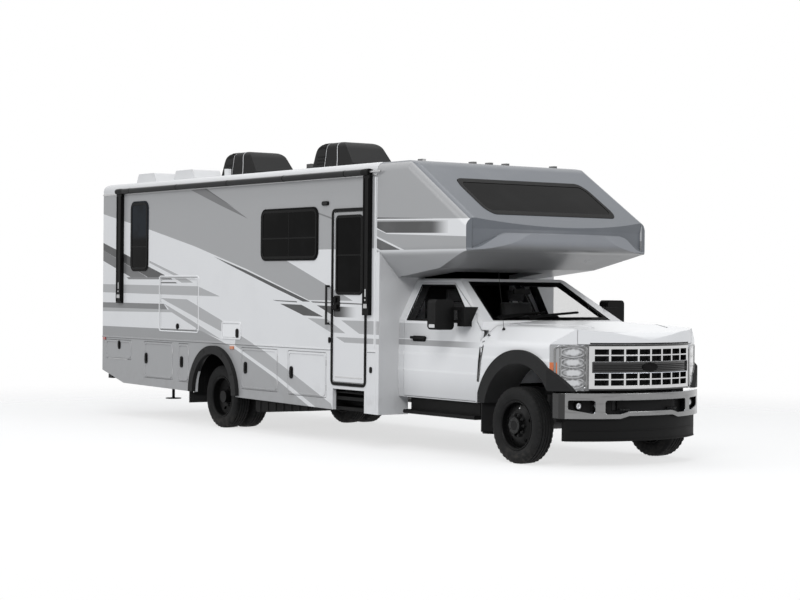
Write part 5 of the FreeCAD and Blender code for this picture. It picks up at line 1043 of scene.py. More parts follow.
def tank_details():
    """Moulded waste tank that hangs below the right baggage boxes, with its ribs and drain pipe."""
    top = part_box("baggage_boxes_right")[0][2]
    rear, front = bx(-5.15), bx(-3.80)
    shallow, deep = 0.345, 0.250
    near, far = -1.14, -0.56
    rib_half, rib_out, ribs, rib_pitch = 0.012, 0.008, 7, 0.185
    pipe_y, pipe_z = -0.85, deep + 0.05

    def floor_height(x):
        return deep + (shallow - deep) * (x - rear) / (front - rear)

    outline = [(rear, top + 0.004), (rear, deep + 0.03), (rear + 0.03, floor_height(rear + 0.03)),
               (front - 0.05, floor_height(front - 0.05)), (front, shallow + 0.04), (front, top + 0.004)]
    tank = Build().prism(outline, "Y", near, far)
    for number in range(ribs):
        x = rear + 0.12 + number * rib_pitch
        low = floor_height(x) - 0.006
        rib = [(x - rib_half, top), (x - rib_half, low), (x + rib_half, low), (x + rib_half, top)]
        tank.prism(rib, "Y", near - rib_out, far + rib_out)
    tank.rod((rear + 0.10, pipe_y, pipe_z), (rear - 0.16, pipe_y, pipe_z), 0.038, 24)
    tank.rod((rear - 0.15, pipe_y, pipe_z), (rear - 0.19, pipe_y, pipe_z), 0.047, 24)
    add("holding_tank", tank, "black", bevel=0.004)


# latch of each locker door: x from the front axle, z and height
LATCHES = {
    "rear_locker_door_right": (-8.667, 1.000, 0.12),
    "long_locker_door_right": (-7.850, 0.840, 0.15),
    "narrow_locker_door_right": (-6.838, 0.825, 0.15),
    "middle_locker_door_right": (-5.164, 0.812, 0.15),
    "front_locker_door_right": (-4.069, 0.799, 0.15),
    "kitchen_locker_door_right": (-6.956, 1.295, 0.08),
    "long_locker_door_left": (-7.850, 0.840, 0.15),
    "front_locker_door_left": (-4.069, 0.799, 0.15),
}


def locker_latch(x, z, tall):
    """Round-ended plate with a paddle on it."""
    half = 0.036
    build = side_plate(Build(), plate((x - half, z - tall / 2), (x + half, z + tall / 2), half * 0.9), 0.012)
    paddle = plate((x - half * 0.66, z - tall * 0.30), (x + half * 0.66, z + tall * 0.34), half * 0.6)
    return side_plate(build, paddle, 0.020, 0.010)


def locker_hinge(name, low, high):
    """Long hinge at the foot of the rear door and the head of the kitchen's, two short ones elsewhere."""
    build = Build()
    rear, front = low[0] + 0.1, high[0] - 0.1
    if name.startswith("rear_locker"):
        y, z = -SIDE - PROUD_HINGE, low[1] - 0.001
        return build.rod((rear, y, z), (front, y, z), 0.006, 8)
    if name.startswith("kitchen"):
        y, z = -SIDE - 0.004, high[1] - 0.010
        return build.rod((rear, y, z), (front, y, z), 0.003, 8)
    for share in (0.22, 0.78):
        x, y, z = high[0] + 0.002, -SIDE - PROUD_HINGE, low[1] + (high[1] - low[1]) * share
        build.rod((x, y, z - 0.035), (x, y, z + 0.035), 0.006, 8)
    return build


def locker_details():
    """Raised borders, hinges and paddle latches of the locker doors."""
    for name, (x, z, tall) in LATCHES.items():
        corner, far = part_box(name)
        low, high = (corner[0], corner[2]), (far[0], far[2])
        border = Build().border(low, high, 0.07, (-0.012, -0.030), "Y", -SIDE - 0.005, -SIDE + SUNK)
        for title, build, key, bevel in (("border_", border, "house", 0.002),
                                         ("latch_", locker_latch(x, z, tall), "trim", 0.002),
                                         ("hinge_", locker_hinge(name, low, high), "alu", 0.0)):
            mesh = build.mesh(title)
            if name.endswith("left"):
                mesh = mirrored(mesh)
            add(title + name, mesh, key, name, bevel=bevel)


# house windows as (x from the front axle, z) corners
NARROW_WINDOW = ((-8.31, 2.065), (-7.84, 2.98))
WIDE_WINDOW = ((-4.78, 2.185), (-3.515, 2.77))
LEFT_REAR_WINDOW = ((-8.25, 2.185), (-7.25, 2.77))


def window_frame(build, window, bar, face):
    """Black frame of one window, with a bar at a share of its height."""
    (left, foot), (right, head) = window
    low, high = (bx(left), foot), (bx(right), head)
    build.border(low, high, 0.08, (0.004, -0.026), "Y", face - 0.005, face + 0.004)
    middle = foot + (head - foot) * bar
    build.box((low[0] + 0.02, face - 0.002, middle - 0.009), (high[0] - 0.02, face + 0.004, middle + 0.009))


def window_details():
    """Frames and bars of the house windows."""
    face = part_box("fixed_windows")[0][1]
    low_bar, high_bar = 0.34, 0.42
    post, post_half = bx(-4.15), 0.006
    right = Build()
    window_frame(right, NARROW_WINDOW, low_bar, face)
    window_frame(right, WIDE_WINDOW, high_bar, face)
    right.box((post - post_half, face - 0.001, 2.21), (post + post_half, face + 0.004, 2.745))
    add("window_frames_right", right, "trim", bevel=0.002)
    left = Build()
    window_frame(left, LEFT_REAR_WINDOW, high_bar, face)
    window_frame(left, WIDE_WINDOW, high_bar, face)
    add("window_frames_left", mirrored(left.mesh("window_frames")), "trim", bevel=0.002)


def belt_mouldings():
    """Moulding along the top of the skirts, with a gap at the doorway on the right."""
    section = [(-SIDE - 0.007, 1.099), (-SIDE - 0.007, 1.115), (-SIDE + SUNK, 1.122), (-SIDE + SUNK, 1.092)]
    belt = Build()
    for low, high in ((REAR_END, -3.20), (-2.44, CAP_START)):
        belt.prism(section, "X", bx(low), bx(high))
    add("belt_moulding_right", belt, "house", bevel=0.002)
    left = Build().prism(section, "X", bx(REAR_END), bx(CAP_START)).mesh("belt")
    add("belt_moulding_left", mirrored(left), "house", bevel=0.002)


def hatch_borders():
    """Borders of the kitchen hatch and the outlet box, and the moulding beside the front arm."""
    rings = Build()
    low, high = (bx(-7.47), 1.24), (bx(-6.40), 1.957)
    rings.border(low, high, 0.03, (0.020, 0.002), "Y", -SIDE - 0.007, -SIDE + SUNK)
    low, high = (bx(-5.77), 1.162), (bx(-5.285), 1.384)
    rings.border(low, high, 0.03, (0.0, -0.02), "Y", -SIDE - 0.012, -SIDE + SUNK)
    side_plate(rings, grown(low, high, 0.03, -0.024), 0.007)
    side_plate(rings, plate((-2.302, 1.16), (-2.280, 3.10), 0.006), 0.006)
    add("hatch_borders", rings, "trim_white", bevel=0.003)


def side_ports():
    """Outlet latch, porch light, door stop and small port, all black."""
    ports = Build()
    side_plate(ports, plate((-5.40, 1.185), (-5.335, 1.30), 0.03), 0.020)
    side_plate(ports, plate((-3.40, 2.805), (-3.26, 2.855), 0.024), 0.02)
    side_plate(ports, plate((-3.245, 1.18), (-3.205, 1.25), 0.019), 0.012)
    side_plate(ports, plate((-2.378, 0.86), (-2.332, 0.93), 0.02), 0.012)
    add("side_ports", ports, "trim", bevel=0.003)
    glow = side_plate(Build(), plate((-3.385, 2.815), (-3.275, 2.845), 0.014), 0.024, 0.018)
    add("porch_light_lens", glow, "steel", bevel=0.002)


def side_lamps():
    """Amber markers over the rear wheels and red ones at the rear corners."""
    out = 0.016
    amber = side_plate(Build(), plate((-5.55, 1.035), (-5.46, 1.075), 0.012), out).twin()
    add("amber_side_lamps", amber, "amber", bevel=0.004)
    red = side_plate(Build(), plate((-9.17, 1.06), (-9.09, 1.10), 0.012), out).twin()
    add("red_side_lamps", red, "red", bevel=0.004)


def side_mouldings():
    """Gutter under the roof's edge and the seam where the cap meets the walls."""
    section = [(-SIDE - 0.010, 3.118), (-SIDE - 0.012, 3.134), (-SIDE + SUNK, 3.14), (-SIDE + SUNK, 3.112)]
    gutter = Build().prism(section, "X", bx(REAR_END), bx(CAP_START)).twin()
    add("roof_gutter", gutter, "alu", bevel=0.002)
    seam = side_plate(Build(), plate((-2.268, 0.45), (-2.256, 3.10), 0.004), 0.0035).twin()
    add("cap_seam", seam, "trim_white", bevel=0.001)


def awning_details():
    """Hinges, end bracket, stiffening ribs and roll bands of the awning."""
    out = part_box("awning")[0][1]
    roll_z = 3.158
    bright = Build()
    for low, high, z in ((-8.70, -8.56, 1.66), (-2.475, -2.365, 1.60)):
        middle = bx((low + high) / 2)
        bright.prism(plate((low + 0.02, z), (high - 0.02, z + 0.05), 0.01), "Y", out + 0.028, out + 0.034)
        bright.rod((middle, out + 0.036, z + 0.095), (middle, out + 0.026, z + 0.095), 0.012, 16)
        bright.box((middle - 0.012, out + 0.029, z + 0.13), (middle + 0.012, out + 0.034, z + 0.22))
    bright.rod((bx(-2.36), -SIDE - 0.040, roll_z), (bx(-2.14), -SIDE - 0.040, roll_z), 0.012, 16)
    add("awning_hinges", bright, "brushed", bevel=0.002)
    ribs = Build()
    rib_in, rib_half, foot, head = 0.018, 0.009, 1.62, 3.09
    for low, high in ((-8.705, -8.555), (-2.485, -2.355)):
        for x in (bx(low + rib_in), bx(high - rib_in)):
            ribs.box((x - rib_half, -SIDE - 0.052, foot), (x + rib_half, -SIDE - 0.044, head))
    add("awning_arm_ribs", ribs, "trim", bevel=0.002)
    bands = Build()
    for number in range(5):
        place = (bx(-8.3 + number * 1.36), -SIDE - 0.038, roll_z)
        bands.revolve([(-0.012, 0.0385), (0.0, 0.0405), (0.012, 0.0385)], place, "X", 32)
    add("awning_roll_bands", bands, "trim", smooth=True)


def flare_details():
    """Seams across the rear wheel flares."""
    skin = Skin("wheel_flares")
    seams = Build()
    centre_z = 0.448
    radii = (0.548, 0.575, 0.600)
    for angle in (-58, -20, 28, 62):
        turn = math.radians(angle)
        path = [(REAR_AXLE + r * math.sin(turn), centre_z + r * math.cos(turn)) for r in radii]
        seams.laid_strip(path, 0.010, skin.side, 0.0015)
    add("flare_seams", seams.twin(), "trim")


def arch_screens():
    """Dark ribbed screens behind the rear wheels, standing in for the shade inside the wheel wells."""
    x = REAR_AXLE - 0.556
    # dark sheets put as shade behind each wheel
    screens = Build().prism(rounded((-1.279, 0.40), (-0.56, 1.02), 0.04), "X", x, x + 0.007)
    for y in (-1.10, -0.90, -0.70):
        screens.prism(rounded((y - 0.02, 0.44), (y + 0.02, 0.98), 0.015), "X", x + 0.005, x + 0.011)
    add("arch_screens", screens.twin(), "black", bevel=0.002)


def step_treads():
    """Grip strips on the two entry steps."""
    low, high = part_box("entry_steps")
    strips, pitch, wide = 5, 0.034, 0.014
    treads = Build()
    for z, start in ((0.612, low[1] + 0.01), (0.917, low[1] + 0.27)):
        for number in range(strips):
            y = start + 0.03 + number * pitch
            treads.box((low[0] + 0.05, y, z - 0.001), (high[0] - 0.05, y + wide, z + 0.004))
    add("step_treads", treads, "iron")


entry_frames()
entry_fittings()
tank_details()
locker_details()
window_details()
belt_mouldings()
hatch_borders()
side_ports()
side_lamps()
side_mouldings()
awning_details()
flare_details()
arch_screens()
step_treads()


# cab and nose
# points round a door window's seal are no further apart than this
SEAL_GAP = 0.5


def handle_details(door):
    """Cup and pull of each cab door's handle."""
    cup = Build().laid_patch(plate((-1.93, 1.235), (-1.67, 1.30), 0.03), door.side, 0.0015)
    pair("handle_cup", cup, "trim", "cab_door_%s")
    low, high, proud = 1.262, 1.294, 0.034
    grip = Build().laid_patch(plate((-1.94, low), (-1.66, high), 0.014), door.side, proud, -0.016)
    for rear in (-1.935, -1.705):
        grip.laid_patch(plate((rear, low), (rear + 0.040, high), 0.012), door.side, 0.018)
    pair("door_handle", grip, "black", "cab_door_%s", bevel=0.004)


def seal_line(points):
    """Points close together all round a window's outline."""
    return dense([(bx(x), z) for x, z in points + points[:1]], SEAL_GAP)[:-1]


def door_window_seals(door):
    """Seal round each door's window and the belt below it."""
    inner = seal_line([(-2.04, 1.49), (-0.88, 1.49), (-1.43, 1.862), (-2.04, 1.862)])
    outer = seal_line([(-2.058, 1.474), (-0.835, 1.474), (-1.425, 1.878), (-2.058, 1.878)])
    seal = Build().laid_ring(outer, inner, door.side, 0.003)
    pair("window_seal", seal, "trim", "cab_door_%s")
    belt = Build().laid_strip(dense([(bx(-2.05), 1.478), (bx(-0.86), 1.478)], 0.1), 0.018, door.side, 0.006)
    pair("window_belt", belt, "trim", "cab_door_%s", bevel=0.002)


def fender_vents():
    """Black vent behind each front wheel, with bright edges and bars."""
    fender = Skin("front_fenders", "hood")
    outline = [(-0.692, 0.835), (-0.660, 0.830), (-0.628, 1.05), (-0.582, 1.22),
               (-0.578, 1.335), (-0.634, 1.345), (-0.645, 1.20), (-0.672, 1.05)]
    vent = Build().laid_patch([(bx(x), z) for x, z in outline], fender.side, 0.006)
    pair("fender_vent", vent, "trim", CAR, bevel=0.002)
    front = [(-0.664, 0.836), (-0.632, 1.05), (-0.588, 1.22), (-0.584, 1.332)]
    rear = [(-0.686, 0.838), (-0.668, 1.05), (-0.641, 1.20), (-0.630, 1.340)]
    edge = Build().laid_strip([(bx(x), z) for x, z in front], 0.008, fender.side, 0.009)
    edge.laid_strip([(bx(x), z) for x, z in rear], 0.005, fender.side, 0.008)
    foot, lean, pitch = 0.83, 0.15, 0.06
    for number in range(7):
        z = 0.90 + number * pitch
        x = bx(-0.678 + (z - foot) * lean)
        edge.laid_strip([(x, z), (x + 0.028, z + 0.012)], 0.006, fender.side, 0.0075)
    pair("vent_edge", edge, "chrome", CAR)


def mirror_details():
    """Upper and lower mirror glass and the ribbed turn lens below it."""
    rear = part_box("door_mirror_right")[0][0]
    outer, inner = -1.345, -1.128
    glass = Build()
    for low, high in ((1.50, 1.698), (1.402, 1.488)):
        glass.prism(rounded((outer, low), (inner, high), 0.03), "X", rear - 0.002, rear + 0.004)
    pair("mirror_glass", glass, "chrome", "cab_door_%s", bevel=0.001)
    face, rib_face = -1.3635, -1.3655
    lens = Build().prism(rounded((rear + 0.030, 1.408), (rear + 0.135, 1.445), 0.012), "Y", face, -1.358)
    for z in (1.418, 1.434):
        rib = rounded((rear + 0.036, z - 0.002), (rear + 0.129, z + 0.002), 0.0015)
        lens.prism(rib, "Y", rib_face, -1.363)
    pair("mirror_lens", lens, "clear", "cab_door_%s", bevel=0.001)


def wiper_details(skin):
    """Two wipers at the foot of the windscreen, each an arm over a blade."""
    wipers = Build()
    for foot, tip in ((-0.30, 0.46), (-0.74, -0.02)):
        reach = tip - foot
        blade = [(foot + reach * share, 1.522 + 0.045 * share) for share in (0, 0.25, 0.5, 0.75, 1.0)]
        arm = [(foot + reach * share, 1.500 + 0.055 * share) for share in (-0.06, 0.1, 0.3, 0.5)]
        wipers.laid_strip(blade, 0.012, skin.front, 0.022, -0.004)
        wipers.laid_strip(arm, 0.018, skin.front, 0.034, -0.020)
    add("wipers", wipers, "trim", bevel=0.001)


def screen_line(foot, head):
    """Points all round the windscreen from a lower and an upper corner of (y, z)."""
    (wide, low), (narrow, high) = foot, head
    return dense([(-wide, low), (wide, low), (narrow, high), (-narrow, high), (-wide, low)], 0.2)[:-1]


def windscreen_seal(skin):
    """Seal round the windscreen."""
    outer = screen_line((0.84, 1.492), (0.668, 1.913))
    inner = screen_line((0.822, 1.503), (0.652, 1.902))
    seal = Build().laid_ring(outer, inner, skin.front, 0.003)
    add("windscreen_seal", seal, "trim")


def windscreen_details():
    """Wipers, seal, the mirror behind the glass, slots in the cowl and the aerial."""
    skin = Skin("fixed_windows", "cab_shell")
    wiper_details(skin)
    windscreen_seal(skin)
    inside = Build().prism(rounded((-0.12, 1.775), (0.12, 1.835), 0.02), "X", bx(-1.235), bx(-1.205))
    inside.rod((bx(-1.21), 0, 1.83), (bx(-1.215), 0, 1.875), 0.008)
    add("rear_view_mirror", inside, "trim", bevel=0.004)
    hood = Skin("hood")
    cowl = Build()
    slots, pitch, half = 9, 0.15, 0.055
    for number in range(slots):
        y = (number - slots // 2) * pitch
        cowl.laid_strip([(bx(-0.600), y - half), (bx(-0.600), y + half)], 0.010, hood.top, 0.0015)
    add("cowl_slots", cowl, "trim", "hood")
    base, _ = Skin("front_fenders", "hood").top(bx(-0.45), -0.86)
    mast = Build().revolve([(0.0, 0.020), (0.012, 0.017), (0.024, 0.008), (0.030, 0.003)], base, "Z", 20)
    mast.rod(base + Vector((0, 0, 0.02)), base + Vector((-0.10, 0, 0.62)), 0.0025, 8)
    add("mast_antenna", mast, "trim")


def hood_details():
    """Creases pressed along the hood, and the gap in front of it."""
    hood = Skin("hood")
    creases = Build()
    for side in (-1, 1):
        path = dense([(bx(-0.52), 0.60 * side), (bx(0.10), 0.57 * side), (bx(0.62), 0.52 * side)], 0.1)
        creases.laid_strip(path, 0.020, hood.top, 0.0025)
    add("hood_creases", creases, "cab", "hood", smooth=True)
    edge_z, half = 1.2815, 0.685
    lip = Build().laid_strip(dense([(-half, edge_z), (half, edge_z)], 0.1), 0.014, hood.front, 0.003)
    add("hood_front_seal", lip, "trim", "hood")


def lamp_details():
    """Chrome surrounds and bars of the head lamps, and the round fog lamps."""
    skin = Skin("head_lamps")
    low, high = (-0.990, 0.803), (-0.708, 1.258)
    radius, rim_wide, steps = 0.045, 0.018, 12
    inner = grown(low, high, radius, -rim_wide, steps)
    rim = Build().laid_ring(rounded(low, high, radius, steps), inner, skin.front, 0.006)
    pair("head_lamp_rim", rim, "chrome", CAR, bevel=0.002)
    bars = Build()
    for z in (0.922, 1.027, 1.132):
        bars.laid_strip(dense([(-0.945, z), (-0.730, z)], 0.03), 0.007, skin.front, 0.002)
    for y in (-0.942, -0.738):
        bars.laid_strip(dense([(y, 0.825), (y, 1.235)], 0.05), 0.010, skin.front, 0.003)
    pair("head_lamp_bars", bars, "chrome", CAR)
    fog_y, fog_z = -0.775, 0.638
    centre = (Skin("air_dam").front(fog_y, 0.635)[0].x, fog_y, fog_z)
    rim = [(-0.002, 0.046), (0.030, 0.046), (0.034, 0.042), (0.032, 0.036), (0.018, 0.034)]
    bowl = [(0.012, 0.0005), (0.024, 0.012), (0.030, 0.024), (0.027, 0.034), (0.010, 0.035)]
    pair("fog_lamp_ring", Build().revolve(rim, centre, "X", 32), "trim", CAR, smooth=False)
    pair("fog_lamp_lens", Build().revolve(bowl, centre, "X", 32), "clear", CAR, smooth=True)


def tow_hooks():
    """Two bent bars in the bumper's centre opening."""
    half, z = 0.045, 0.600
    back_x = Skin("air_dam").front(-0.33, z)[0].x
    hooks = Build()
    for side in (-1, 1):
        y = 0.33 * side
        path = [(0.0, -half), (0.05, -half), (0.075, -0.02), (0.075, 0.02), (0.05, half), (0.0, half)]
        hooks.pipe([(back_x + out, y + across, z) for out, across in path], 0.012)
    add("tow_hooks", hooks, "steel", smooth=True)


def level_strip(build, skin, half, z, width, proud, gap):
    """Strip across the nose at one height."""
    return build.laid_strip(dense([(-half, z), (half, z)], gap), width, skin.front, proud)


def grille_details():
    """Slats behind the bars, the bare badge plinth, the tow hooks and the air dam's ribs."""
    face = Skin("grille", "chassis_frame")
    slats = Build()
    for z in (1.003, 1.022, 1.041, 1.060):
        level_strip(slats, face, 0.64, z, 0.009, 0.006, 0.08)
    add("grille_slats", slats, "black")
    rims = Build()
    for z in (0.9795, 1.0925):
        level_strip(rims, face, 0.655, z, 0.009, 0.008, 0.08)
    add("grille_rims", rims, "chrome")
    turns = [2 * math.pi * i / 40 for i in range(40)]
    oval = [(0.105 * math.cos(t), 1.036 + 0.046 * math.sin(t)) for t in turns]
    plinth = Build().laid_patch(oval, face.front, 0.012)
    add("badge_plinth", plinth, "trim", bevel=0.003)
    tow_hooks()
    dam = Skin("air_dam")
    lip = level_strip(Build(), dam, 0.86, 0.385, 0.010, 0.005, 0.06)
    level_strip(lip, dam, 0.88, 0.284, 0.016, 0.009, 0.06)
    add("air_dam_ribs", lip, "black", bevel=0.002)


def nose_window_frame():
    """Black border of the window in the moulded cap."""
    skin = Skin("fixed_windows", "front_cap")
    low, high = (-0.915, 2.655), (0.915, 3.045)
    outer, inner = (grown(low, high, 0.095, by, 10) for by in (0.014, -0.030))
    ring = Build().laid_ring(outer, inner, skin.front, 0.004)
    add("nose_window_frame", ring, "trim")


# seats
# squares along a cushion's side, how far its corners draw in, and the width of a sewn channel
CELLS = 12
PULL = 0.012
SEAM_WIDE = 0.035


def bulge(share):
    """0 at both edges of a pad, 1 in its middle, steep at the edges."""
    return math.sin(math.pi * min(max(share, 0.0), 1.0)) ** 0.5


def cushion(build, low, high, crown, lean=0.0, seams=(0.24, 0.76)):
    """Crowned pad between two corners with sewn channels; lean shifts its top along X."""
    size = [b - a for a, b in zip(low, high)]

    def spot(u, v, top):
        edge = bulge(u) * bulge(v)
        channel = sum(math.exp(-((v - seam) / SEAM_WIDE) ** 2) for seam in seams)
        w = 0.5 + (0.5 - 0.22 * (1 - edge)) * (1 if top else -1)
        x = low[0] + size[0] * (w if lean else u)
        z = low[2] + size[2] * (u if lean else w)
        shift = (crown * edge - 0.012 * channel * edge) * (1 if top else -0.25)
        if lean:
            x += shift + lean * (u - 0.5)
        else:
            z += shift
        y = low[1] + size[1] * v + (0.5 - v) * 2 * PULL * (1 - bulge(u))
        return (x, y, z)

    rows = range(CELLS + 1)
    top, under = ([[build.bm.verts.new(spot(i / CELLS, j / CELLS, upper)) for j in rows] for i in rows]
                  for upper in (True, False))
    sew(build, top, under)


def sew(build, top, under):
    """Faces over two grids of points and round the edge between them."""
    way = range(CELLS)
    for grid, flip in ((top, False), (under, True)):
        for i in way:
            for j in way:
                quad = [grid[i][j], grid[i + 1][j], grid[i + 1][j + 1], grid[i][j + 1]]
                build.bm.faces.new(quad[::-1] if flip else quad)
    edge = [(i, 0) for i in way] + [(CELLS, j) for j in way]
    edge += [(CELLS - i, CELLS) for i in way] + [(0, CELLS - j) for j in way]
    for (i, j), (k, l) in zip(edge, edge[1:] + edge[:1]):
        build.bm.faces.new([top[i][j], under[i][j], under[k][l], top[k][l]])


def cab_seats():
    """Two bucket seats with sewn cushions, backs and head rests, in the CAD seats' room."""
    (rear, _, foot), (front, outer, head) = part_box("cab_seats")
    inner = outer - 0.50
    seat = Build()
    cushion(seat, (rear + 0.13, inner + 0.01, foot + 0.12), (front - 0.01, outer - 0.01, foot + 0.27), 0.018)
    cushion(seat, (rear + 0.055, inner + 0.02, foot + 0.28), (rear + 0.165, outer - 0.02, foot + 0.83),
            0.016, -0.10)
    cushion(seat, (rear + 0.015, inner + 0.13, foot + 0.845), (rear + 0.085, outer - 0.13, head - 0.005),
            0.010, -0.01, ())
    base = Build().box((rear + 0.15, inner + 0.06, foot + 0.001), (front - 0.05, outer - 0.06, foot + 0.125))
    for y in (inner + 0.20, inner + 0.30):
        base.rod((rear + 0.055, y, foot + 0.80), (rear + 0.05, y, foot + 0.87), 0.007)
    mesh = seat.mesh("cab_seat")
    left = add("seat_pad_left", mesh, "cloth", smooth=True)
    right = add("seat_pad_right", mirrored(mesh), "cloth", smooth=True)
    for pad in (left, right):
        fine = pad.modifiers.new("fine", "SUBSURF")
        fine.levels = 1
        fine.render_levels = 1
    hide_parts("cab_seats")
    add("seat_bases", base.twin(), "trim", bevel=0.004)


door_skin = Skin("cab_door_right")
handle_details(door_skin)
door_window_seals(door_skin)
fender_vents()
mirror_details()
windscreen_details()
hood_details()
lamp_details()
grille_details()
nose_window_frame()
cab_seats()


# roof and tail
def cooler_seams(name, centre, reach, turns):
    """Two seams over one air conditioner's shroud, the front one bowed."""
    seam = Build()
    seam.laid_strip([(centre + 0.07 + 0.05 * math.cos(2 * t), t) for t in turns], 0.010, reach, 0.003)
    seam.laid_strip([(centre - 0.17, t) for t in turns], 0.006, reach, 0.002)
    add("cooler_seam_" + name, seam, "roof")


def cooler_vents(name, centre, skin, reach, turns):
    """Slats over the rear third of one shroud and down both its sides."""
    slats = Build()
    for number in range(9):
        x = centre - 0.40 + number * 0.026
        slats.laid_strip([(x, t) for t in turns], 0.010, reach, 0.004)
    for rail in (skin.side, skin.left_side):
        for number in range(5):
            z = 3.33 + number * 0.045
            slats.laid_strip(dense([(centre - 0.36, z), (centre - 0.20, z)]), 0.014, rail, 0.004)
    add("cooler_vents_" + name, slats, "trim")


def cooler_details():
    """Seams, side vents and base rims of the air conditioners."""
    low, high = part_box("roof_air_conditioners")
    skin = Skin("roof_air_conditioners")
    reach = skin.about(3.36)
    half = 0.48
    turns = [math.radians(2 + 176 * step / 40) for step in range(41)]
    for name, centre in (("rear", bx(-7.05)), ("front", bx(-4.70))):
        cooler_seams(name, centre, reach, turns)
        cooler_vents(name, centre, skin, reach, turns[9:32])
        a, b = (centre - half, low[1] - 0.004), (centre + half, high[1] + 0.004)
        base = Build().border(a, b, 0.02, (0.006, -0.015), "Z", low[2] - 0.001, low[2] + 0.022)
        add("cooler_base_" + name, base, "trim", bevel=0.002)


def roof_strips():
    """Sealant strips along the roof's edges and across its ends."""
    roof = Skin("roof")
    strips = Build()
    ends = -9.15, -2.30
    for y in (-1.19, 1.19):
        strips.laid_strip(dense([(bx(x), y) for x in ends], 0.6), 0.030, roof.top, 0.004)
    for x in ends:
        strips.laid_strip(dense([(bx(x), -1.15), (bx(x), 1.15)], 0.2), 0.040, roof.top, 0.003)
    add("roof_strips", strips, "trim_white", bevel=0.001)


def vent_ribs():
    """Spokes on the round vent's lid and hoops round it."""
    low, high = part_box("roof_vents")
    x, y, spokes = bx(-5.6), 0.10, 8
    inner, outer = 0.05, 0.165
    vent = Build()
    for number in range(spokes):
        turn = 2 * math.pi * number / spokes
        out = Vector((math.cos(turn), math.sin(turn), 0))
        centre = Vector((x, y, high[2]))
        vent.rod(centre + out * inner, centre + out * outer, 0.006, 8)
    for z in (0.06, 0.09, 0.12):
        hoop = [(z - 0.004, 0.1905), (z, 0.1935), (z + 0.004, 0.1905)]
        vent.revolve(hoop, (x, y, low[2]), "Z", 48)
    add("vent_ribs", vent, "trim")


def tail_plate(build, low, high, radius, wall, proud):
    """Rounded plate of (y, z) corners standing proud of the rear wall."""
    return build.prism(rounded(low, high, radius), "X", wall - proud, wall + SUNK)


def tail_details():
    """Lamp frames, mouldings, camera hood and reflectors of the rear wall, and the bumper's bare plate."""
    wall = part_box("wall_rear")[0][0]
    lamp_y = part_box("body_lamps")[1][1] - 0.045
    frames = Build()
    half, foot, top = 0.045, 0.90, 1.32
    for y in (-lamp_y, lamp_y):
        low, high = (y - half, foot), (y + half, top)
        frames.border(low, high, 0.01, (0.012, 0.001), "X", wall - 0.010, wall + SUNK)
    add("tail_lamp_frames", frames, "trim", bevel=0.002)
    panel = Build().border((-1.13, 0.70), (1.13, 1.80), 0.06, (0.0, -0.014), "X", wall - 0.005, wall + SUNK)
    tail_plate(panel, (-1.18, 3.10), (1.18, 3.125), 0.006, wall, 0.006)
    add("tail_mouldings", panel, "house", bevel=0.002)
    camera_hood = tail_plate(Build(), (-0.05, 3.02), (0.05, 3.085), 0.02, wall, 0.045)
    add("rear_camera_hood", camera_hood, "trim", bevel=0.005)
    reflectors = Build()
    for y in (-0.93, 0.93):
        tail_plate(reflectors, (y - 0.04, 0.74), (y + 0.04, 0.78), 0.008, wall, 0.008)
    add("tail_reflectors", reflectors, "red", bevel=0.001)
    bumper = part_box("rear_bumper")[0][0]
    blank = Build().prism(rounded((-0.16, 0.525), (0.16, 0.605), 0.01), "X", bumper - 0.003, bumper + 0.002)
    add("blank_plate", blank, "trim", bevel=0.001)


cooler_details()
roof_strips()
vent_ribs()
tail_details()


# stage
def camera():
    """Camera as the photograph's was, found from the wheels and the body's edges."""
    eye = Vector((FRONT_AXLE + 15.676, -13.577, 1.832))
    yaw, pitch, roll = math.radians(54.86), math.radians(-0.35), math.radians(0.51)
    ahead = Vector((-math.sin(yaw) * math.cos(pitch), math.cos(yaw) * math.cos(pitch), math.sin(pitch)))
    right = ahead.cross(Vector((0, 0, 1))).normalized()
    up = right.cross(ahead)
    turned_right = right * math.cos(roll) + up * math.sin(roll)
    turned_up = -right * math.sin(roll) + up * math.cos(roll)
    data = bpy.data.cameras.new("camera")
    data.lens = 85.94
    data.sensor_width = 36.0
    data.sensor_fit = "HORIZONTAL"
    data.clip_end = 200.0
    item = bpy.data.objects.new("camera", data)
    turn = Matrix((turned_right, turned_up, -ahead)).transposed().to_4x4()
    item.matrix_world = Matrix.Translation(eye) @ turn
    bpy.context.scene.collection.objects.link(item)
    bpy.context.scene.camera = item


def light(name, place, target, size, power):
    """Square light at a place, turned to a target."""
    data = bpy.data.lights.new(name, "AREA")
    data.energy = power
    data.size = size
    item = bpy.data.objects.new(name, data)
    item.location = place
    item.rotation_euler = (Vector(target) - Vector(place)).to_track_quat("-Z", "Y").to_euler()
    bpy.context.scene.collection.objects.link(item)


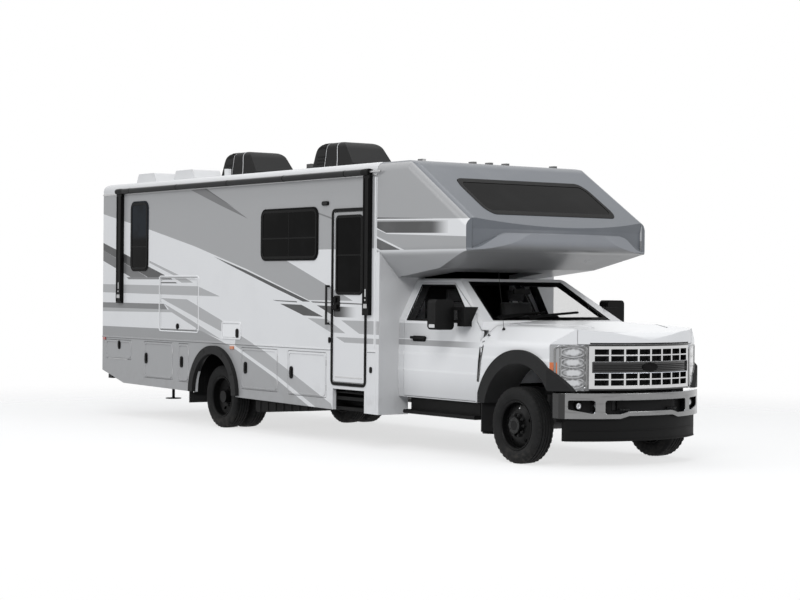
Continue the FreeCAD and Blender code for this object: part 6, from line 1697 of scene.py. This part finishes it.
def floor():
    """Pale floor that fades out into the background."""
    half, fade_from, fade_to, cover = 60, 6.5, 13.0, 0.32
    corners = [(-half, -half, 0), (half, -half, 0), (half, half, 0), (-half, half, 0)]
    mesh = bpy.data.meshes.new("floor")
    mesh.from_pydata(corners, [], [(0, 1, 2, 3)])
    item = bpy.data.objects.new("floor", mesh)
    s = Shade("studio_floor")
    far = s.node("ShaderNodeVectorMath", {0: s.place}, operation="LENGTH").outputs["Value"]
    s.set(color=s.mix(s.noise(0.7, 4.0), grey(0.90), grey(0.93)), rough=0.9,
          alpha=s.some(s.ramp(far, fade_to, fade_from), cover))
    mesh.materials.append(s.mat)
    bpy.context.scene.collection.objects.link(item)


def surroundings():
    """White where it is seen, also in metal and glass, and a plain pale light otherwise."""
    world = bpy.data.worlds.new("world")
    bpy.context.scene.world = world
    world.use_nodes = True
    tree = world.node_tree
    tree.nodes.clear()
    out = tree.nodes.new("ShaderNodeOutputWorld")
    mix = tree.nodes.new("ShaderNodeMixShader")
    soft = tree.nodes.new("ShaderNodeBackground")
    soft.inputs[0].default_value = (0.90, 0.94, 1.0, 1.0)
    soft.inputs[1].default_value = 0.36
    white = tree.nodes.new("ShaderNodeBackground")
    white.inputs[0].default_value = (1, 1, 1, 1)
    white.inputs[1].default_value = 1.0
    path = tree.nodes.new("ShaderNodeLightPath")
    seen = path.outputs["Is Camera Ray"]
    for kind in ("Is Glossy Ray", "Is Transmission Ray"):
        either = tree.nodes.new("ShaderNodeMath")
        either.operation = "MAXIMUM"
        tree.links.new(seen, either.inputs[0])
        tree.links.new(path.outputs[kind], either.inputs[1])
        seen = either.outputs[0]
    tree.links.new(seen, mix.inputs[0])
    tree.links.new(soft.outputs[0], mix.inputs[1])
    tree.links.new(white.outputs[0], mix.inputs[2])
    tree.links.new(mix.outputs[0], out.inputs[0])


def studio():
    """Floor, surroundings and four large lights."""
    floor()
    surroundings()
    light("key", (14, -12, 12), (2, 0, 1.2), 7.0, 1500)
    light("side", (-6, -16, 8), (-1, 0, 1.5), 9.0, 820)
    light("front", (16, 6, 6), (4, 0, 1), 6.0, 520)
    light("over", (0, 0, 14), (0, 0, 0), 12.0, 1000)
    bpy.context.scene.view_settings.view_transform = "Standard"


camera()
studio()
bpy.context.view_layer.update()
